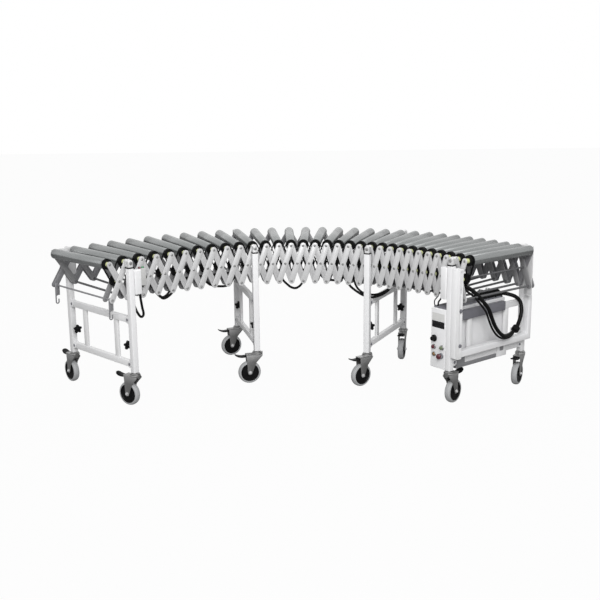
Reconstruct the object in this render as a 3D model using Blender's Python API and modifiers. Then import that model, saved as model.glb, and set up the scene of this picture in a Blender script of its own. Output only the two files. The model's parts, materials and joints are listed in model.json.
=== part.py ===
"""Flexible belt-driven roller conveyor, stretched out round a bend of about 100 degrees.

Metres, +Z up. The inside of the bend, with the drive belts and the control cabinet, faces -Y.
Thirty-one rollers turn on axles between two scissor lattices. Four castored stands slide on leg
bars that hang from the lattices. Everything is worked out in a layout frame, and the parent empty
then moves the whole conveyor so that the origin is under the middle of its outline, on the floor.
"""

import math

import bmesh
import bpy
from mathutils import Matrix, Vector

# Rollers
ROLLER_COUNT = 31
ROLLER_RADIUS = 0.025
ROLLER_LENGTH = 0.450
ROLLER_SIDES = 10
PULLEY_RADIUS = 0.0235
PULLEY_LENGTH = 0.030
AXLE_HEIGHT = 0.720
AXLE_RADIUS = 0.0055
AXLE_PLAY = 0.0004

# Course of the bed, followed along the outer face of the front lattice
ROLLER_GAP_LEAST = 0.006
PITCH_GROWTH = 0.0704
TIGHTEST_SHARE = 0.262
BEND_HALF = math.radians(50.7)
BEND_MIDDLE = math.radians(3.2)
BEND_LEAN = math.radians(3.2)
BEND_EASE_SHARE = 0.227

# Scissor lattices
LINK_PITCH = 0.196
LINK_WIDTH = 0.030
LINK_THICKNESS = 0.004
LINK_END_SIDES = 3
LAYER_GAP = 0.0015
FRONT_CLEARANCE = 0.0006
REAR_CLEARANCE = 0.0016
PIN_RADIUS = 0.0045
PIN_SIDES = 4
ROD_END_GAP = 0.0006

# Stands: posts, ladder frame and clamp knobs
STAND_STATIONS = (1, 10, 20, 29)
POST_SIDE = 0.030
POST_WALL = 0.0025
POST_BOTTOM = 0.172
POST_TOP = AXLE_HEIGHT - 0.027
POST_PLUG = 0.023
FRONT_POST_OFFSET = 0.022
REAR_POST_OFFSET = 0.0475
STAND_YAWS = (0.0, 0.0, 0.0, math.radians(-0.8))
CROSSBAR_HEIGHTS = (0.213, AXLE_HEIGHT - 0.283)
CROSSBAR_TALL = 0.032
CROSSBAR_THICK = 0.020
UPRIGHT_SHARES = (0.25, 0.76)
UPRIGHT_WIDE = 0.028
UPRIGHT_THICK = 0.014
KNOB_HEIGHT = 0.303
KNOB_STANDOFF = 0.040
KNOB_RADIUS = 0.023
KNOB_WAIST_SHARE = 0.72
KNOB_LOBES = 5
KNOB_THICKNESS = 0.014
KNOB_STEM_RADIUS = 0.005

# Leg bars inside the posts
LEG_PLAY = 0.0003
LEG_BOTTOM = POST_TOP - 0.363
LEG_TOP = AXLE_HEIGHT + 0.015
LEG_HEAD_TALL = 0.034
LEG_HEAD_SETBACK = 0.004
GUSSET_THICKNESS = 0.004
GUSSET_TOP = AXLE_HEIGHT + 0.018

# The first and last rear legs' plates: corners along the bed from the leg and below the top
FIRST_GUSSET = (
    (-0.015, 0.183), (0.015, 0.183), (0.019, 0.0), (-0.120, 0.0), (-0.060, 0.117),
)
LAST_GUSSET = (
    (0.045, 0.251), (0.090, 0.251), (0.090, 0.0), (-0.013, 0.0), (-0.013, 0.038), (0.030, 0.098),
)

# Casters
WHEEL_RADIUS = 0.060
WHEEL_WIDTH = 0.032
WHEEL_SIDES = 16
WHEEL_PLAY = 0.0004
CASTER_TRAIL = 0.042
CASTER_AXLE_RADIUS = 0.005
FORK_PLATE = 0.003
FORK_SIDE_GAP = 0.0006
FORK_TOP = 0.158
FORK_FRONT = 0.024
FORK_BACK = 0.056
FORK_NOSE_RADIUS = 0.012
CROWN_THICKNESS = 0.0045
CROWN_INSET = 0.0015
SWIVEL_RADIUS = 0.026
SWIVEL_GAP = 0.0003
SWIVEL_STEP = 0.005
STEM_RADIUS = 0.0065
STEM_LENGTH = 0.016
STEM_PLAY = 0.0004
PEDAL_LENGTH = 0.034
PEDAL_WIDE = 0.030
PEDAL_THICK = 0.006
PEDAL_RISE = 0.008
FRONT_CASTER_ANGLES = (147, 195, 217, 50)
REAR_CASTER_ANGLES = (130, 205, 255, 240)

# End frame in front of the last stand
END_FRAME_DEEP = 0.035
END_FRAME_NEAR = (0.026, POST_TOP - 0.007)
END_FRAME_FAR = (0.026, 0.472)
END_FRAME_BOTTOM = 0.244
END_PLATE_DEEP = 0.018
END_PLATE_INSET = 0.0007
END_RAIL_TALL = 0.031
END_FRAME_SINK = 0.001

# Junction boxes beside the first and last front posts
BOX_WIDE = 0.040
BOX_DEEP = 0.034
BOX_CLEARANCE = 0.0008
BOX_SETBACK = 0.0048
FIRST_BOX_BOTTOM = AXLE_HEIGHT - 0.160
LAST_BOX_BOTTOM = AXLE_HEIGHT - 0.193
BOX_TOP = AXLE_HEIGHT - 0.008
BOX_LUG_TALL = 0.013
LAMP_BOX_WIDE = 0.036
LAMP_BOX_DEEP = 0.026
LAMP_BOX_SETBACK = 0.0062
LAMP_BOX_BOTTOM = AXLE_HEIGHT - 0.120
LAMP_BOX_TOP = AXLE_HEIGHT - 0.037

# Control cabinet beside the last stand
CABINET_WIDE = 0.097
CABINET_LONG = 0.435
CABINET_BOTTOM = 0.174
CABINET_TOP = AXLE_HEIGHT - 0.246
CABINET_GAP = 0.0005
CABINET_SETBACK = 0.0005
CABINET_BEVEL = 0.004
TRAY_TALL = 0.008
TRAY_INSET = 0.008
PANEL_LIP = 0.006
SWITCH_HOLE_DEPTH = 0.018
SWITCH_PLAY = 0.0004
CONTROL_SINK = 0.012

# Controls on the panel: radius, height over the panel, share across it and share up it
KNOB_CONTROL = (0.017, 0.022, 0.26, 0.495)
STOP_CONTROL = (0.0105, 0.009, 0.25, 0.352)
START_CONTROL = (0.0105, 0.009, 0.80, 0.365)
LAMP_CONTROL = (0.0095, 0.007, 0.26, 0.225)
EMERGENCY_CONTROL = (0.014, 0.020, 0.74, 0.222)
CONTROL_SIDES = 12
SHAFT_SHARE = 0.55
CAP_TRAVEL = 0.006
CAP_GAP = 0.0005

# Coupling hooks at the first end
HOOK_ROD_RADIUS = 0.004
HOOK_WIDE = 0.020
HOOK_THICK = 0.004
HOOK_DROP = 0.098
HOOK_BEND_RADIUS = 0.011
HOOK_WIRE_WIDE = 0.006
HOOK_TIP = 0.014
HOOK_SETBACK = 0.0015
HOOK_BEND_STEPS = 5

# Cable from the first junction box to the cabinet, thin along the lattice and thick in the loop
CABLE_RADIUS = 0.0025
CONDUIT_RADIUS = 0.010
CABLE_POINTS = 36
LOOP_POINTS = 34
CABLE_FORWARD = 0.0030

# Its route: (station, drop below the axles), then (along, share across, drop) at the last stand
CABLE_ROUTE = (
    (1.62, 0.1606), (1.66, 0.2000), (1.85, 0.2750), (2.08, 0.2640), (2.35, 0.2000),
    (2.75, 0.1800), (3.25, 0.2170), (3.80, 0.1890), (4.40, 0.1800), (7.10, 0.1840),
    (8.85, 0.1840), (10.60, 0.1920), (12.30, 0.1830), (13.30, 0.2050), (14.00, 0.2240),
    (15.00, 0.2000), (15.90, 0.1730), (16.90, 0.1710), (18.20, 0.1980), (19.50, 0.2510),
    (20.70, 0.2660), (21.60, 0.2450), (22.40, 0.2030), (24.80, 0.1750), (27.00, 0.1800),
    (28.20, 0.2060), (29.99, 0.2060),
)
LOOP_ROUTE = (
    (0.092, 0.0222, 0.1600), (0.099, 0.0444, 0.1340), (0.099, 0.0962, 0.1370),
    (0.092, 0.2071, 0.1970), (0.085, 0.3181, 0.2900), (0.078, 0.4106, 0.3580),
    (0.070, 0.5215, 0.4080), (0.063, 0.6695, 0.4310), (0.060, 0.7675, 0.4230),
    (0.055, 0.8471, 0.3850), (0.046, 0.8766, 0.3200), (0.030, 0.8544, 0.2580),
    (0.012, 0.7805, 0.2280), (-0.014, 0.6917, 0.2060), (-0.044, 0.6436, 0.1980),
    (-0.062, 0.6325, 0.2140), (-0.062, 0.6325, 0.2364),
)

TAU = 2 * math.pi
AXIS_Y = Matrix.Rotation(-math.pi / 2, 4, "X")

COLOURS = {
    "steel_tube": ((0.62, 0.63, 0.62), 0.35, 0.9),
    "zinc_link": ((0.66, 0.67, 0.68), 0.45, 0.8),
    "white_paint": ((0.86, 0.87, 0.88), 0.4, 0.0),
    "fork_zinc": ((0.55, 0.56, 0.56), 0.4, 0.8),
    "grey_tyre": ((0.55, 0.56, 0.57), 0.7, 0.0),
    "black_plastic": ((0.03, 0.03, 0.03), 0.45, 0.0),
    "black_cable": ((0.02, 0.02, 0.02), 0.5, 0.0),
    "dark_steel": ((0.30, 0.30, 0.31), 0.45, 0.7),
    "red_plastic": ((0.55, 0.04, 0.05), 0.35, 0.0),
    "green_plastic": ((0.30, 0.45, 0.14), 0.35, 0.0),
}


def materials():
    """One Principled material for each finish."""
    made = {}
    for name, (colour, roughness, metallic) in COLOURS.items():
        material = bpy.data.materials.new(name)
        material.use_nodes = True
        shader = material.node_tree.nodes["Principled BSDF"]
        shader.inputs["Base Color"].default_value = (*colour, 1.0)
        shader.inputs["Roughness"].default_value = roughness
        shader.inputs["Metallic"].default_value = metallic
        made[name] = material
    return made


def clear_scene():
    for item in list(bpy.data.objects):
        bpy.data.objects.remove(item, do_unlink=True)


class Station:
    """One roller's place: the point on the front face line and the roller's direction."""

    def __init__(self, x, y, angle):
        self.point = Vector((x, y, 0.0))
        self.angle = angle
        self.across = Vector((math.sin(angle), math.cos(angle), 0.0))
        self.along = Vector((math.cos(angle), -math.sin(angle), 0.0))

    def place(self, along, across, height):
        return self.point + self.along * along + self.across * across + Vector((0, 0, height))

    def frame(self, along=0.0, across=0.0, height=0.0):
        """Matrix whose X runs along the bed, Y across it and Z up."""
        turn = Matrix.Rotation(-self.angle, 4, "Z")
        return Matrix.Translation(self.place(along, across, height)) @ turn


def roller_angle(index):
    """Direction of a roller, turning fastest in the middle of the bend."""
    half = (ROLLER_COUNT - 1) / 2
    share = (index - half) / half
    swing = (1 + BEND_EASE_SHARE) * share - BEND_EASE_SHARE * share**3
    return BEND_MIDDLE + BEND_HALF * swing + BEND_LEAN * (1 - share**2)


def cell_pitch(index):
    """Distance between two rollers on the inside of the bend."""
    share = 1 - (index + 0.5) / (ROLLER_COUNT - 1)
    closest = 2 * ROLLER_RADIUS + ROLLER_GAP_LEAST
    return closest + PITCH_GROWTH * (share - TIGHTEST_SHARE) ** 2


def stations():
    made = [Station(0.0, 0.0, roller_angle(0))]
    for index in range(ROLLER_COUNT - 1):
        here = made[-1]
        angle = roller_angle(index + 1)
        heading = (here.angle + angle) / 2
        pitch = cell_pitch(index)
        x = here.point.x + pitch * math.cos(heading)
        y = here.point.y - pitch * math.sin(heading)
        made.append(Station(x, y, angle))
    return made


LATTICE_DEEP = 2 * LINK_THICKNESS + LAYER_GAP
ROLLER_START = LATTICE_DEEP + FRONT_CLEARANCE
REAR_LATTICE_START = ROLLER_START + ROLLER_LENGTH + REAR_CLEARANCE
REAR_POST_ACROSS = REAR_LATTICE_START + LATTICE_DEEP + REAR_POST_OFFSET
POST_SPACING = REAR_POST_ACROSS + FRONT_POST_OFFSET


def stand_frame(places, number):
    """Frame on the floor under a stand's front post; Y points at its rear post."""
    frame = places[STAND_STATIONS[number]].frame(across=-FRONT_POST_OFFSET)
    return frame @ Matrix.Rotation(-STAND_YAWS[number], 4, "Z")


def add_box(bm, low, high, frame=Matrix()):
    low, high = Vector(low), Vector(high)
    size = Matrix.Diagonal((*(high - low), 1.0))
    bmesh.ops.create_cube(bm, size=1, matrix=frame @ Matrix.Translation((low + high) / 2) @ size)


def add_rod(bm, start, end, radius, sides):
    """Prism with regular sides from one point to another, one flat side facing up."""
    start, end = Vector(start), Vector(end)
    run = end - start
    turn = run.to_track_quat("Z", "Y").to_matrix().to_4x4()
    flat = Matrix.Rotation(math.pi / sides, 4, "Z")
    bmesh.ops.create_cone(bm, cap_ends=True, segments=sides, radius1=radius, radius2=radius,
                          depth=run.length, matrix=Matrix.Translation((start + end) / 2) @ turn @ flat)


def add_mesh(bm, mesh, frame):
    copy = mesh.copy()
    copy.transform(frame)
    bm.from_mesh(copy)
    bpy.data.meshes.remove(copy)


def plate(outline, thickness):
    """Flat outline as a filled 2D curve, extruded evenly to both sides of its plane."""
    curve = bpy.data.curves.new("outline", "CURVE")
    curve.dimensions = "2D"
    curve.fill_mode = "BOTH"
    curve.extrude = thickness / 2
    spline = curve.splines.new("POLY")
    spline.points.add(len(outline) - 1)
    for point, (x, y) in zip(spline.points, outline):
        point.co = (x, y, 0, 1)
    spline.use_cyclic_u = True
    item = bpy.data.objects.new("outline", curve)
    bpy.context.scene.collection.objects.link(item)
    mesh = evaluated_mesh(item)
    bpy.data.objects.remove(item, do_unlink=True)
    bm = bmesh.new()
    bm.from_mesh(mesh)
    bmesh.ops.remove_doubles(bm, verts=bm.verts, dist=thickness * 1e-3)
    bmesh.ops.recalc_face_normals(bm, faces=bm.faces)
    bm.to_mesh(mesh)
    bm.free()
    return mesh


def arc(centre, radius, start, end, steps):
    """Points along an arc, with both ends."""
    angles = [start + (end - start) * step / steps for step in range(steps + 1)]
    return [(centre[0] + radius * math.cos(a), centre[1] + radius * math.sin(a)) for a in angles]


def evaluated_mesh(item):
    graph = bpy.context.evaluated_depsgraph_get()
    return bpy.data.meshes.new_from_object(item.evaluated_get(graph))


def to_mesh(bm, name="piece"):
    mesh = bpy.data.meshes.new(name)
    bm.to_mesh(mesh)
    bm.free()
    return mesh


def combine(base, steps):
    """Mesh of a base after a list of Boolean steps, each an operation and a mesh."""
    item = bpy.data.objects.new("base", base)
    bpy.context.scene.collection.objects.link(item)
    tools = []
    for operation, mesh in steps:
        tool = bpy.data.objects.new("tool", mesh)
        bpy.context.scene.collection.objects.link(tool)
        modifier = item.modifiers.new("step", "BOOLEAN")
        modifier.operation = operation
        modifier.solver = "EXACT"
        modifier.object = tool
        tools.append(tool)
    mesh = evaluated_mesh(item)
    for used in [item, *tools]:
        bpy.data.objects.remove(used, do_unlink=True)
    return mesh


def turned(profile, sides):
    """Ring or solid made by a Screw modifier on a closed profile of (radius, height) points."""
    mesh = bpy.data.meshes.new("profile")
    edges = [(i, (i + 1) % len(profile)) for i in range(len(profile))]
    mesh.from_pydata([(radius, 0.0, height) for radius, height in profile], edges, [])
    item = bpy.data.objects.new("profile", mesh)
    bpy.context.scene.collection.objects.link(item)
    screw = item.modifiers.new("turn", "SCREW")
    screw.axis = "Z"
    screw.angle = TAU
    screw.steps = sides
    screw.render_steps = sides
    screw.use_merge_vertices = False
    result = evaluated_mesh(item)
    bpy.data.objects.remove(item, do_unlink=True)
    return result


class Builder:
    """Makes the named pieces in one collection, under one empty."""

    def __init__(self):
        self.collection = bpy.data.collections.new("flexible_roller_conveyor")
        bpy.context.scene.collection.children.link(self.collection)
        self.home = bpy.data.objects.new("conveyor_home", None)
        self.collection.objects.link(self.home)
        self.finish = materials()
        self.pieces = []

    def piece(self, name, mesh, material, frame=Matrix()):
        item = bpy.data.objects.new(name, mesh)
        if not mesh.materials:
            mesh.materials.append(self.finish[material])
        self.collection.objects.link(item)
        item.parent = self.home
        item.matrix_local = frame
        self.pieces.append(item)
        return item

    def recentre(self):
        """Puts the origin under the middle of the whole outline."""
        bpy.context.view_layer.update()
        corners = []
        for item in self.pieces:
            corners += [item.matrix_world @ vertex.co for vertex in item.data.vertices]
        low = Vector([min(c[i] for c in corners) for i in range(3)])
        high = Vector([max(c[i] for c in corners) for i in range(3)])
        middle = (low + high) / 2
        self.home.location = (-middle.x, -middle.y, -low.z)


def roller_mesh():
    """Tube with a narrower belt pulley at its start, bored through for the axle."""
    bore = (AXLE_RADIUS + AXLE_PLAY) / math.cos(math.pi / ROLLER_SIDES)
    profile = [
        (bore, ROLLER_LENGTH),
        (ROLLER_RADIUS, ROLLER_LENGTH),
        (ROLLER_RADIUS, PULLEY_LENGTH),
        (PULLEY_RADIUS, PULLEY_LENGTH),
        (PULLEY_RADIUS, 0.0),
        (bore, 0.0),
    ]
    mesh = turned(profile, ROLLER_SIDES)
    mesh.shade_smooth()
    mesh.set_sharp_from_angle(angle=math.radians(45))
    return mesh


def build_rollers(build, places):
    mesh = roller_mesh()
    for index, station in enumerate(places):
        frame = station.frame(across=ROLLER_START, height=AXLE_HEIGHT) @ AXIS_Y
        build.piece(f"roller_{index + 1:02d}", mesh, "steel_tube", frame)


def link_mesh():
    """Flat scissor link with round ends, its pivots on X."""
    half = LINK_PITCH / 2
    radius = LINK_WIDTH / 2
    quarter = math.pi / 2
    outline = arc((half, 0), radius, -quarter, quarter, LINK_END_SIDES)
    outline += arc((-half, 0), radius, quarter, 3 * quarter, LINK_END_SIDES)
    return plate(outline, LINK_THICKNESS)


class Lattice:
    """One side's scissor lattice, in its own middle plane that bends at every pivot."""

    def __init__(self, places, across, outward):
        self.places = places
        self.outward = outward
        self.points = [station.place(0, across, 0) for station in places]
        self.layer = (LINK_THICKNESS + LAYER_GAP) / 2
        chords = [(b - a).length for a, b in zip(self.points, self.points[1:])]
        nearby = [chords[0], *[(a + b) / 2 for a, b in zip(chords, chords[1:])], chords[-1]]
        self.feet = [AXLE_HEIGHT - math.sqrt(LINK_PITCH**2 - chord**2) for chord in nearby]

    def top(self, index):
        return self.points[index] + Vector((0, 0, AXLE_HEIGHT))

    def bottom(self, index):
        return self.points[index] + Vector((0, 0, self.feet[index]))

    def out(self, index):
        """Direction away from the rollers, square to the cell after this pivot."""
        chord = (self.points[index + 1] - self.points[index]).normalized()
        return chord.cross(Vector((0, 0, 1))) * -self.outward

    def links(self, outer):
        mesh = link_mesh()
        bm = bmesh.new()
        for index in range(len(self.points) - 1):
            if outer:
                start, end = self.bottom(index), self.top(index + 1)
            else:
                start, end = self.top(index), self.bottom(index + 1)
            away = self.out(index)
            side = self.layer if outer else -self.layer
            run = (end - start).normalized()
            middle = (start + end) / 2 + away * side
            frame = Matrix((run, away.cross(run), away)).transposed().to_4x4()
            add_mesh(bm, mesh, Matrix.Translation(middle) @ frame)
        return to_mesh(bm)

    def crossing(self, index):
        """Centre pivot of a cell, where its two links cross."""
        rise = AXLE_HEIGHT - self.feet[index]
        fall = AXLE_HEIGHT - self.feet[index + 1]
        share = rise / (rise + fall)
        return self.bottom(index).lerp(self.top(index + 1), share)

    def centre_pins(self, bm):
        for index in range(len(self.points) - 1):
            middle, away = self.crossing(index), self.out(index)
            add_rod(bm, middle - away * self.layer, middle + away * self.layer,
                    PIN_RADIUS, PIN_SIDES)


def leg_mesh(across, head_end):
    """Square leg bar with a head that reaches to the lattice, as an outline across the bed."""
    half = POST_SIDE / 2 - POST_WALL - LEG_PLAY
    inner = across + math.copysign(half, head_end - across)
    outer = across - math.copysign(half, head_end - across)
    outline = [
        (outer, LEG_BOTTOM),
        (inner, LEG_BOTTOM),
        (inner, LEG_TOP - LEG_HEAD_TALL),
        (head_end, LEG_TOP - LEG_HEAD_TALL),
        (head_end, LEG_TOP),
        (outer, LEG_TOP),
    ]
    mesh = plate(outline, 2 * half)
    mesh.transform(Matrix(((0, 0, 1, 0), (1, 0, 0, 0), (0, 1, 0, 0), (0, 0, 0, 1))))
    return mesh


def upright_plate(outline, thickness, across):
    """Outline of (along, height) points as a plate standing square across the bed."""
    mesh = plate(outline, thickness)
    mesh.transform(Matrix.Translation((0, across, 0)) @ Matrix.Rotation(math.pi / 2, 4, "X"))
    return mesh


def front_lattice(build, places):
    """Front scissor lattice with its pins, four leg bars and the boxes that hang beside them."""
    lattice = Lattice(places, LATTICE_DEEP / 2, -1)
    pins = bmesh.new()
    lattice.centre_pins(pins)
    for index, station in enumerate(places):
        inner = station.across * lattice.layer
        if index in STAND_STATIONS:
            outer = station.across * (-LATTICE_DEEP / 2 - LEG_HEAD_SETBACK - LINK_THICKNESS)
        else:
            outer = -inner
        if 0 < index < len(places) - 1:
            add_rod(pins, lattice.top(index) + outer, lattice.top(index) + inner,
                    PIN_RADIUS, PIN_SIDES)
            add_rod(pins, lattice.bottom(index) - inner, lattice.bottom(index) + inner,
                    PIN_RADIUS, PIN_SIDES)
    legs = bmesh.new()
    leg = leg_mesh(0, FRONT_POST_OFFSET - LEG_HEAD_SETBACK)
    for number in range(len(STAND_STATIONS)):
        add_mesh(legs, leg, stand_frame(places, number))
    boxes = bmesh.new()
    face = Matrix.Translation((0, FRONT_POST_OFFSET, 0))
    first = stand_frame(places, 0) @ face
    last = stand_frame(places, len(STAND_STATIONS) - 1) @ face
    add_mesh(boxes, box_mesh(1, FIRST_BOX_BOTTOM), first)
    add_mesh(boxes, box_mesh(-1, LAST_BOX_BOTTOM), last)
    lamp_box = bmesh.new()
    start = POST_SIDE / 2 + BOX_CLEARANCE + BOX_WIDE - LINK_THICKNESS
    low = (start, -LAMP_BOX_DEEP - LAMP_BOX_SETBACK, LAMP_BOX_BOTTOM)
    high = (start + LAMP_BOX_WIDE, -LAMP_BOX_SETBACK, LAMP_BOX_TOP)
    add_box(lamp_box, low, high, first)
    mesh = combine(lattice.links(outer=True), [
        ("UNION", to_mesh(pins)),
        ("UNION", lattice.links(outer=False)),
        ("UNION", to_mesh(legs)),
        ("UNION", to_mesh(boxes)),
        ("UNION", to_mesh(lamp_box)),
    ])
    build.piece("front_lattice", mesh, "zinc_link")
    return lattice


def box_mesh(side, bottom):
    """Junction box beside a post, with a lug that reaches over to the leg's head."""
    start = POST_SIDE / 2 + BOX_CLEARANCE
    outline = [
        (side * start, bottom),
        (side * (start + BOX_WIDE), bottom),
        (side * (start + BOX_WIDE), BOX_TOP),
        (0, BOX_TOP),
        (0, BOX_TOP - BOX_LUG_TALL),
        (side * start, BOX_TOP - BOX_LUG_TALL),
    ]
    return upright_plate(outline, BOX_DEEP, -BOX_SETBACK - BOX_DEEP / 2)


def gusset_mesh(corners):
    """Plate that hangs between the end rollers' axles and the rear leg."""
    outline = [(along, GUSSET_TOP - drop) for along, drop in corners]
    return upright_plate(outline, GUSSET_THICKNESS, 0)


def rear_lattice(build, places, front):
    """Rear scissor lattice, which carries the roller axles and the cross rods as well."""
    middle = REAR_LATTICE_START + LATTICE_DEEP / 2
    lattice = Lattice(places, middle, 1)
    pins = bmesh.new()
    lattice.centre_pins(pins)
    front_end = LATTICE_DEEP + ROD_END_GAP
    head_end = REAR_LATTICE_START + LATTICE_DEEP + LEG_HEAD_SETBACK
    for index, station in enumerate(places):
        start = station.place(0, front_end, AXLE_HEIGHT)
        reach = lattice.layer
        if index in STAND_STATIONS:
            reach = LATTICE_DEEP / 2 + LEG_HEAD_SETBACK + LINK_THICKNESS + GUSSET_THICKNESS
        add_rod(pins, start, lattice.top(index) + station.across * reach, AXLE_RADIUS, PIN_SIDES)
        if index > 0:
            near, far = front.bottom(index), lattice.bottom(index)
            run = (far - near).normalized()
            gap = LATTICE_DEEP / 2 + ROD_END_GAP
            add_rod(pins, near + run * gap, far + run * lattice.layer, PIN_RADIUS, PIN_SIDES)
    legs = bmesh.new()
    leg = leg_mesh(POST_SPACING, POST_SPACING - REAR_POST_OFFSET + LEG_HEAD_SETBACK)
    for number in range(len(STAND_STATIONS)):
        add_mesh(legs, leg, stand_frame(places, number))
    gussets = bmesh.new()
    for number, corners in ((0, FIRST_GUSSET), (-1, LAST_GUSSET)):
        along = POST_SPACING * math.tan(STAND_YAWS[number])
        frame = places[STAND_STATIONS[number]].frame(along, head_end)
        add_mesh(gussets, gusset_mesh(corners), frame)
    mesh = combine(lattice.links(outer=True), [
        ("UNION", to_mesh(pins)),
        ("UNION", lattice.links(outer=False)),
        ("UNION", to_mesh(legs)),
        ("UNION", to_mesh(gussets)),
    ])
    build.piece("rear_lattice", mesh, "zinc_link")
    return lattice


def knob_outline():
    """Five-lobed star with a lobe pointing up."""
    points = []
    for step in range(2 * KNOB_LOBES):
        radius = KNOB_RADIUS * (1 if step % 2 == 0 else KNOB_WAIST_SHARE)
        angle = math.pi / 2 + math.pi * step / KNOB_LOBES
        points.append((radius * math.cos(angle), radius * math.sin(angle)))
    return points


def stand_mesh(with_knobs, with_end_frame):
    """Two hollow posts joined by a ladder frame; the origin is on the floor under the front post."""
    half = POST_SIDE / 2
    posts = bmesh.new()
    for across in (0.0, POST_SPACING):
        add_box(posts, (-half, across - half, POST_BOTTOM), (half, across + half, POST_TOP))
    bars = bmesh.new()
    for height in CROSSBAR_HEIGHTS:
        add_box(bars, (-CROSSBAR_THICK / 2, 0, height - CROSSBAR_TALL / 2),
                (CROSSBAR_THICK / 2, POST_SPACING, height + CROSSBAR_TALL / 2))
    uprights = bmesh.new()
    for share in UPRIGHT_SHARES:
        across = POST_SPACING * share
        add_box(uprights, (-UPRIGHT_THICK / 2, across - UPRIGHT_WIDE / 2, CROSSBAR_HEIGHTS[0]),
                (UPRIGHT_THICK / 2, across + UPRIGHT_WIDE / 2, CROSSBAR_HEIGHTS[1]))
    steps = [("UNION", to_mesh(posts)), ("UNION", to_mesh(uprights))]
    if with_knobs:
        stems, knobs = bmesh.new(), bmesh.new()
        star = plate(knob_outline(), KNOB_THICKNESS)
        facing = Matrix.Rotation(math.pi / 2, 4, "X")
        for across, side in ((0.0, 1), (POST_SPACING, -1)):
            centre = Vector((0, across + side * (KNOB_STANDOFF + KNOB_THICKNESS / 2), KNOB_HEIGHT))
            add_rod(stems, (0, across, KNOB_HEIGHT), centre, KNOB_STEM_RADIUS, PIN_SIDES)
            add_mesh(knobs, star, Matrix.Translation(centre) @ facing)
        steps += [("UNION", to_mesh(stems)), ("UNION", to_mesh(knobs))]
    if with_end_frame:
        steps += [("UNION", end_frame_mesh()), ("UNION", end_plate_mesh())]
    cavities = bmesh.new()
    inner = half - POST_WALL
    for across in (0.0, POST_SPACING):
        floor = POST_BOTTOM + POST_PLUG
        add_box(cavities, (-inner, across - inner, floor), (inner, across + inner, POST_TOP + half))
        start = Vector((0, across, POST_BOTTOM - STEM_LENGTH))
        end = Vector((0, across, POST_BOTTOM + STEM_LENGTH + STEM_PLAY))
        bore = (STEM_RADIUS + STEM_PLAY) / math.cos(math.pi / 8)
        add_rod(cavities, start, end, bore, 8)
    steps.append(("DIFFERENCE", to_mesh(cavities)))
    return combine(to_mesh(bars), steps)


def end_frame_mesh():
    """U-shaped outline of flat bar on the end side of the last stand."""
    near = -POST_SIDE / 2
    far = POST_SPACING + POST_SIDE / 2
    rail = END_FRAME_BOTTOM + END_RAIL_TALL
    near_wide, near_top = END_FRAME_NEAR
    far_wide, far_top = END_FRAME_FAR
    outline = [
        (near, near_top),
        (near, END_FRAME_BOTTOM),
        (far, END_FRAME_BOTTOM),
        (far, far_top),
        (far - far_wide, far_top),
        (far - far_wide, rail),
        (near + near_wide, rail),
        (near + near_wide, near_top),
    ]
    mesh = plate(outline, END_FRAME_DEEP)
    middle = POST_SIDE / 2 - END_FRAME_SINK + END_FRAME_DEEP / 2
    mesh.transform(Matrix(((0, 0, 1, middle), (1, 0, 0, 0), (0, 1, 0, 0), (0, 0, 0, 1))))
    return mesh


def end_plate_mesh():
    """Flat bar on the end side of the end frame's near upright."""
    near = -POST_SIDE / 2 + END_PLATE_INSET
    wide, top = END_FRAME_NEAR
    face = POST_SIDE / 2 - END_FRAME_SINK + END_FRAME_DEEP
    bm = bmesh.new()
    add_box(bm, (face - END_FRAME_SINK, near, END_FRAME_BOTTOM + END_PLATE_INSET),
            (face + END_PLATE_DEEP, near + wide - 2 * END_PLATE_INSET, top - END_PLATE_INSET))
    return to_mesh(bm)


def build_stands(build, places):
    plain = stand_mesh(with_knobs=True, with_end_frame=False)
    framed = stand_mesh(with_knobs=False, with_end_frame=True)
    for number, index in enumerate(STAND_STATIONS):
        mesh = framed if index == STAND_STATIONS[-1] else plain
        build.piece(f"stand_{number + 1}", mesh, "white_paint", stand_frame(places, number))


def wheel_mesh():
    """Tyre and hub in one ring, centred on its axle along Z."""
    half = WHEEL_WIDTH / 2
    bore = (CASTER_AXLE_RADIUS + WHEEL_PLAY) / math.cos(math.pi / WHEEL_SIDES)
    rim = WHEEL_RADIUS / math.cos(math.pi / WHEEL_SIDES)
    mesh = turned([(bore, half), (rim, half), (rim, -half), (bore, -half)], WHEEL_SIDES)
    mesh.shade_smooth()
    mesh.set_sharp_from_angle(angle=math.radians(45))
    return mesh


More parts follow.
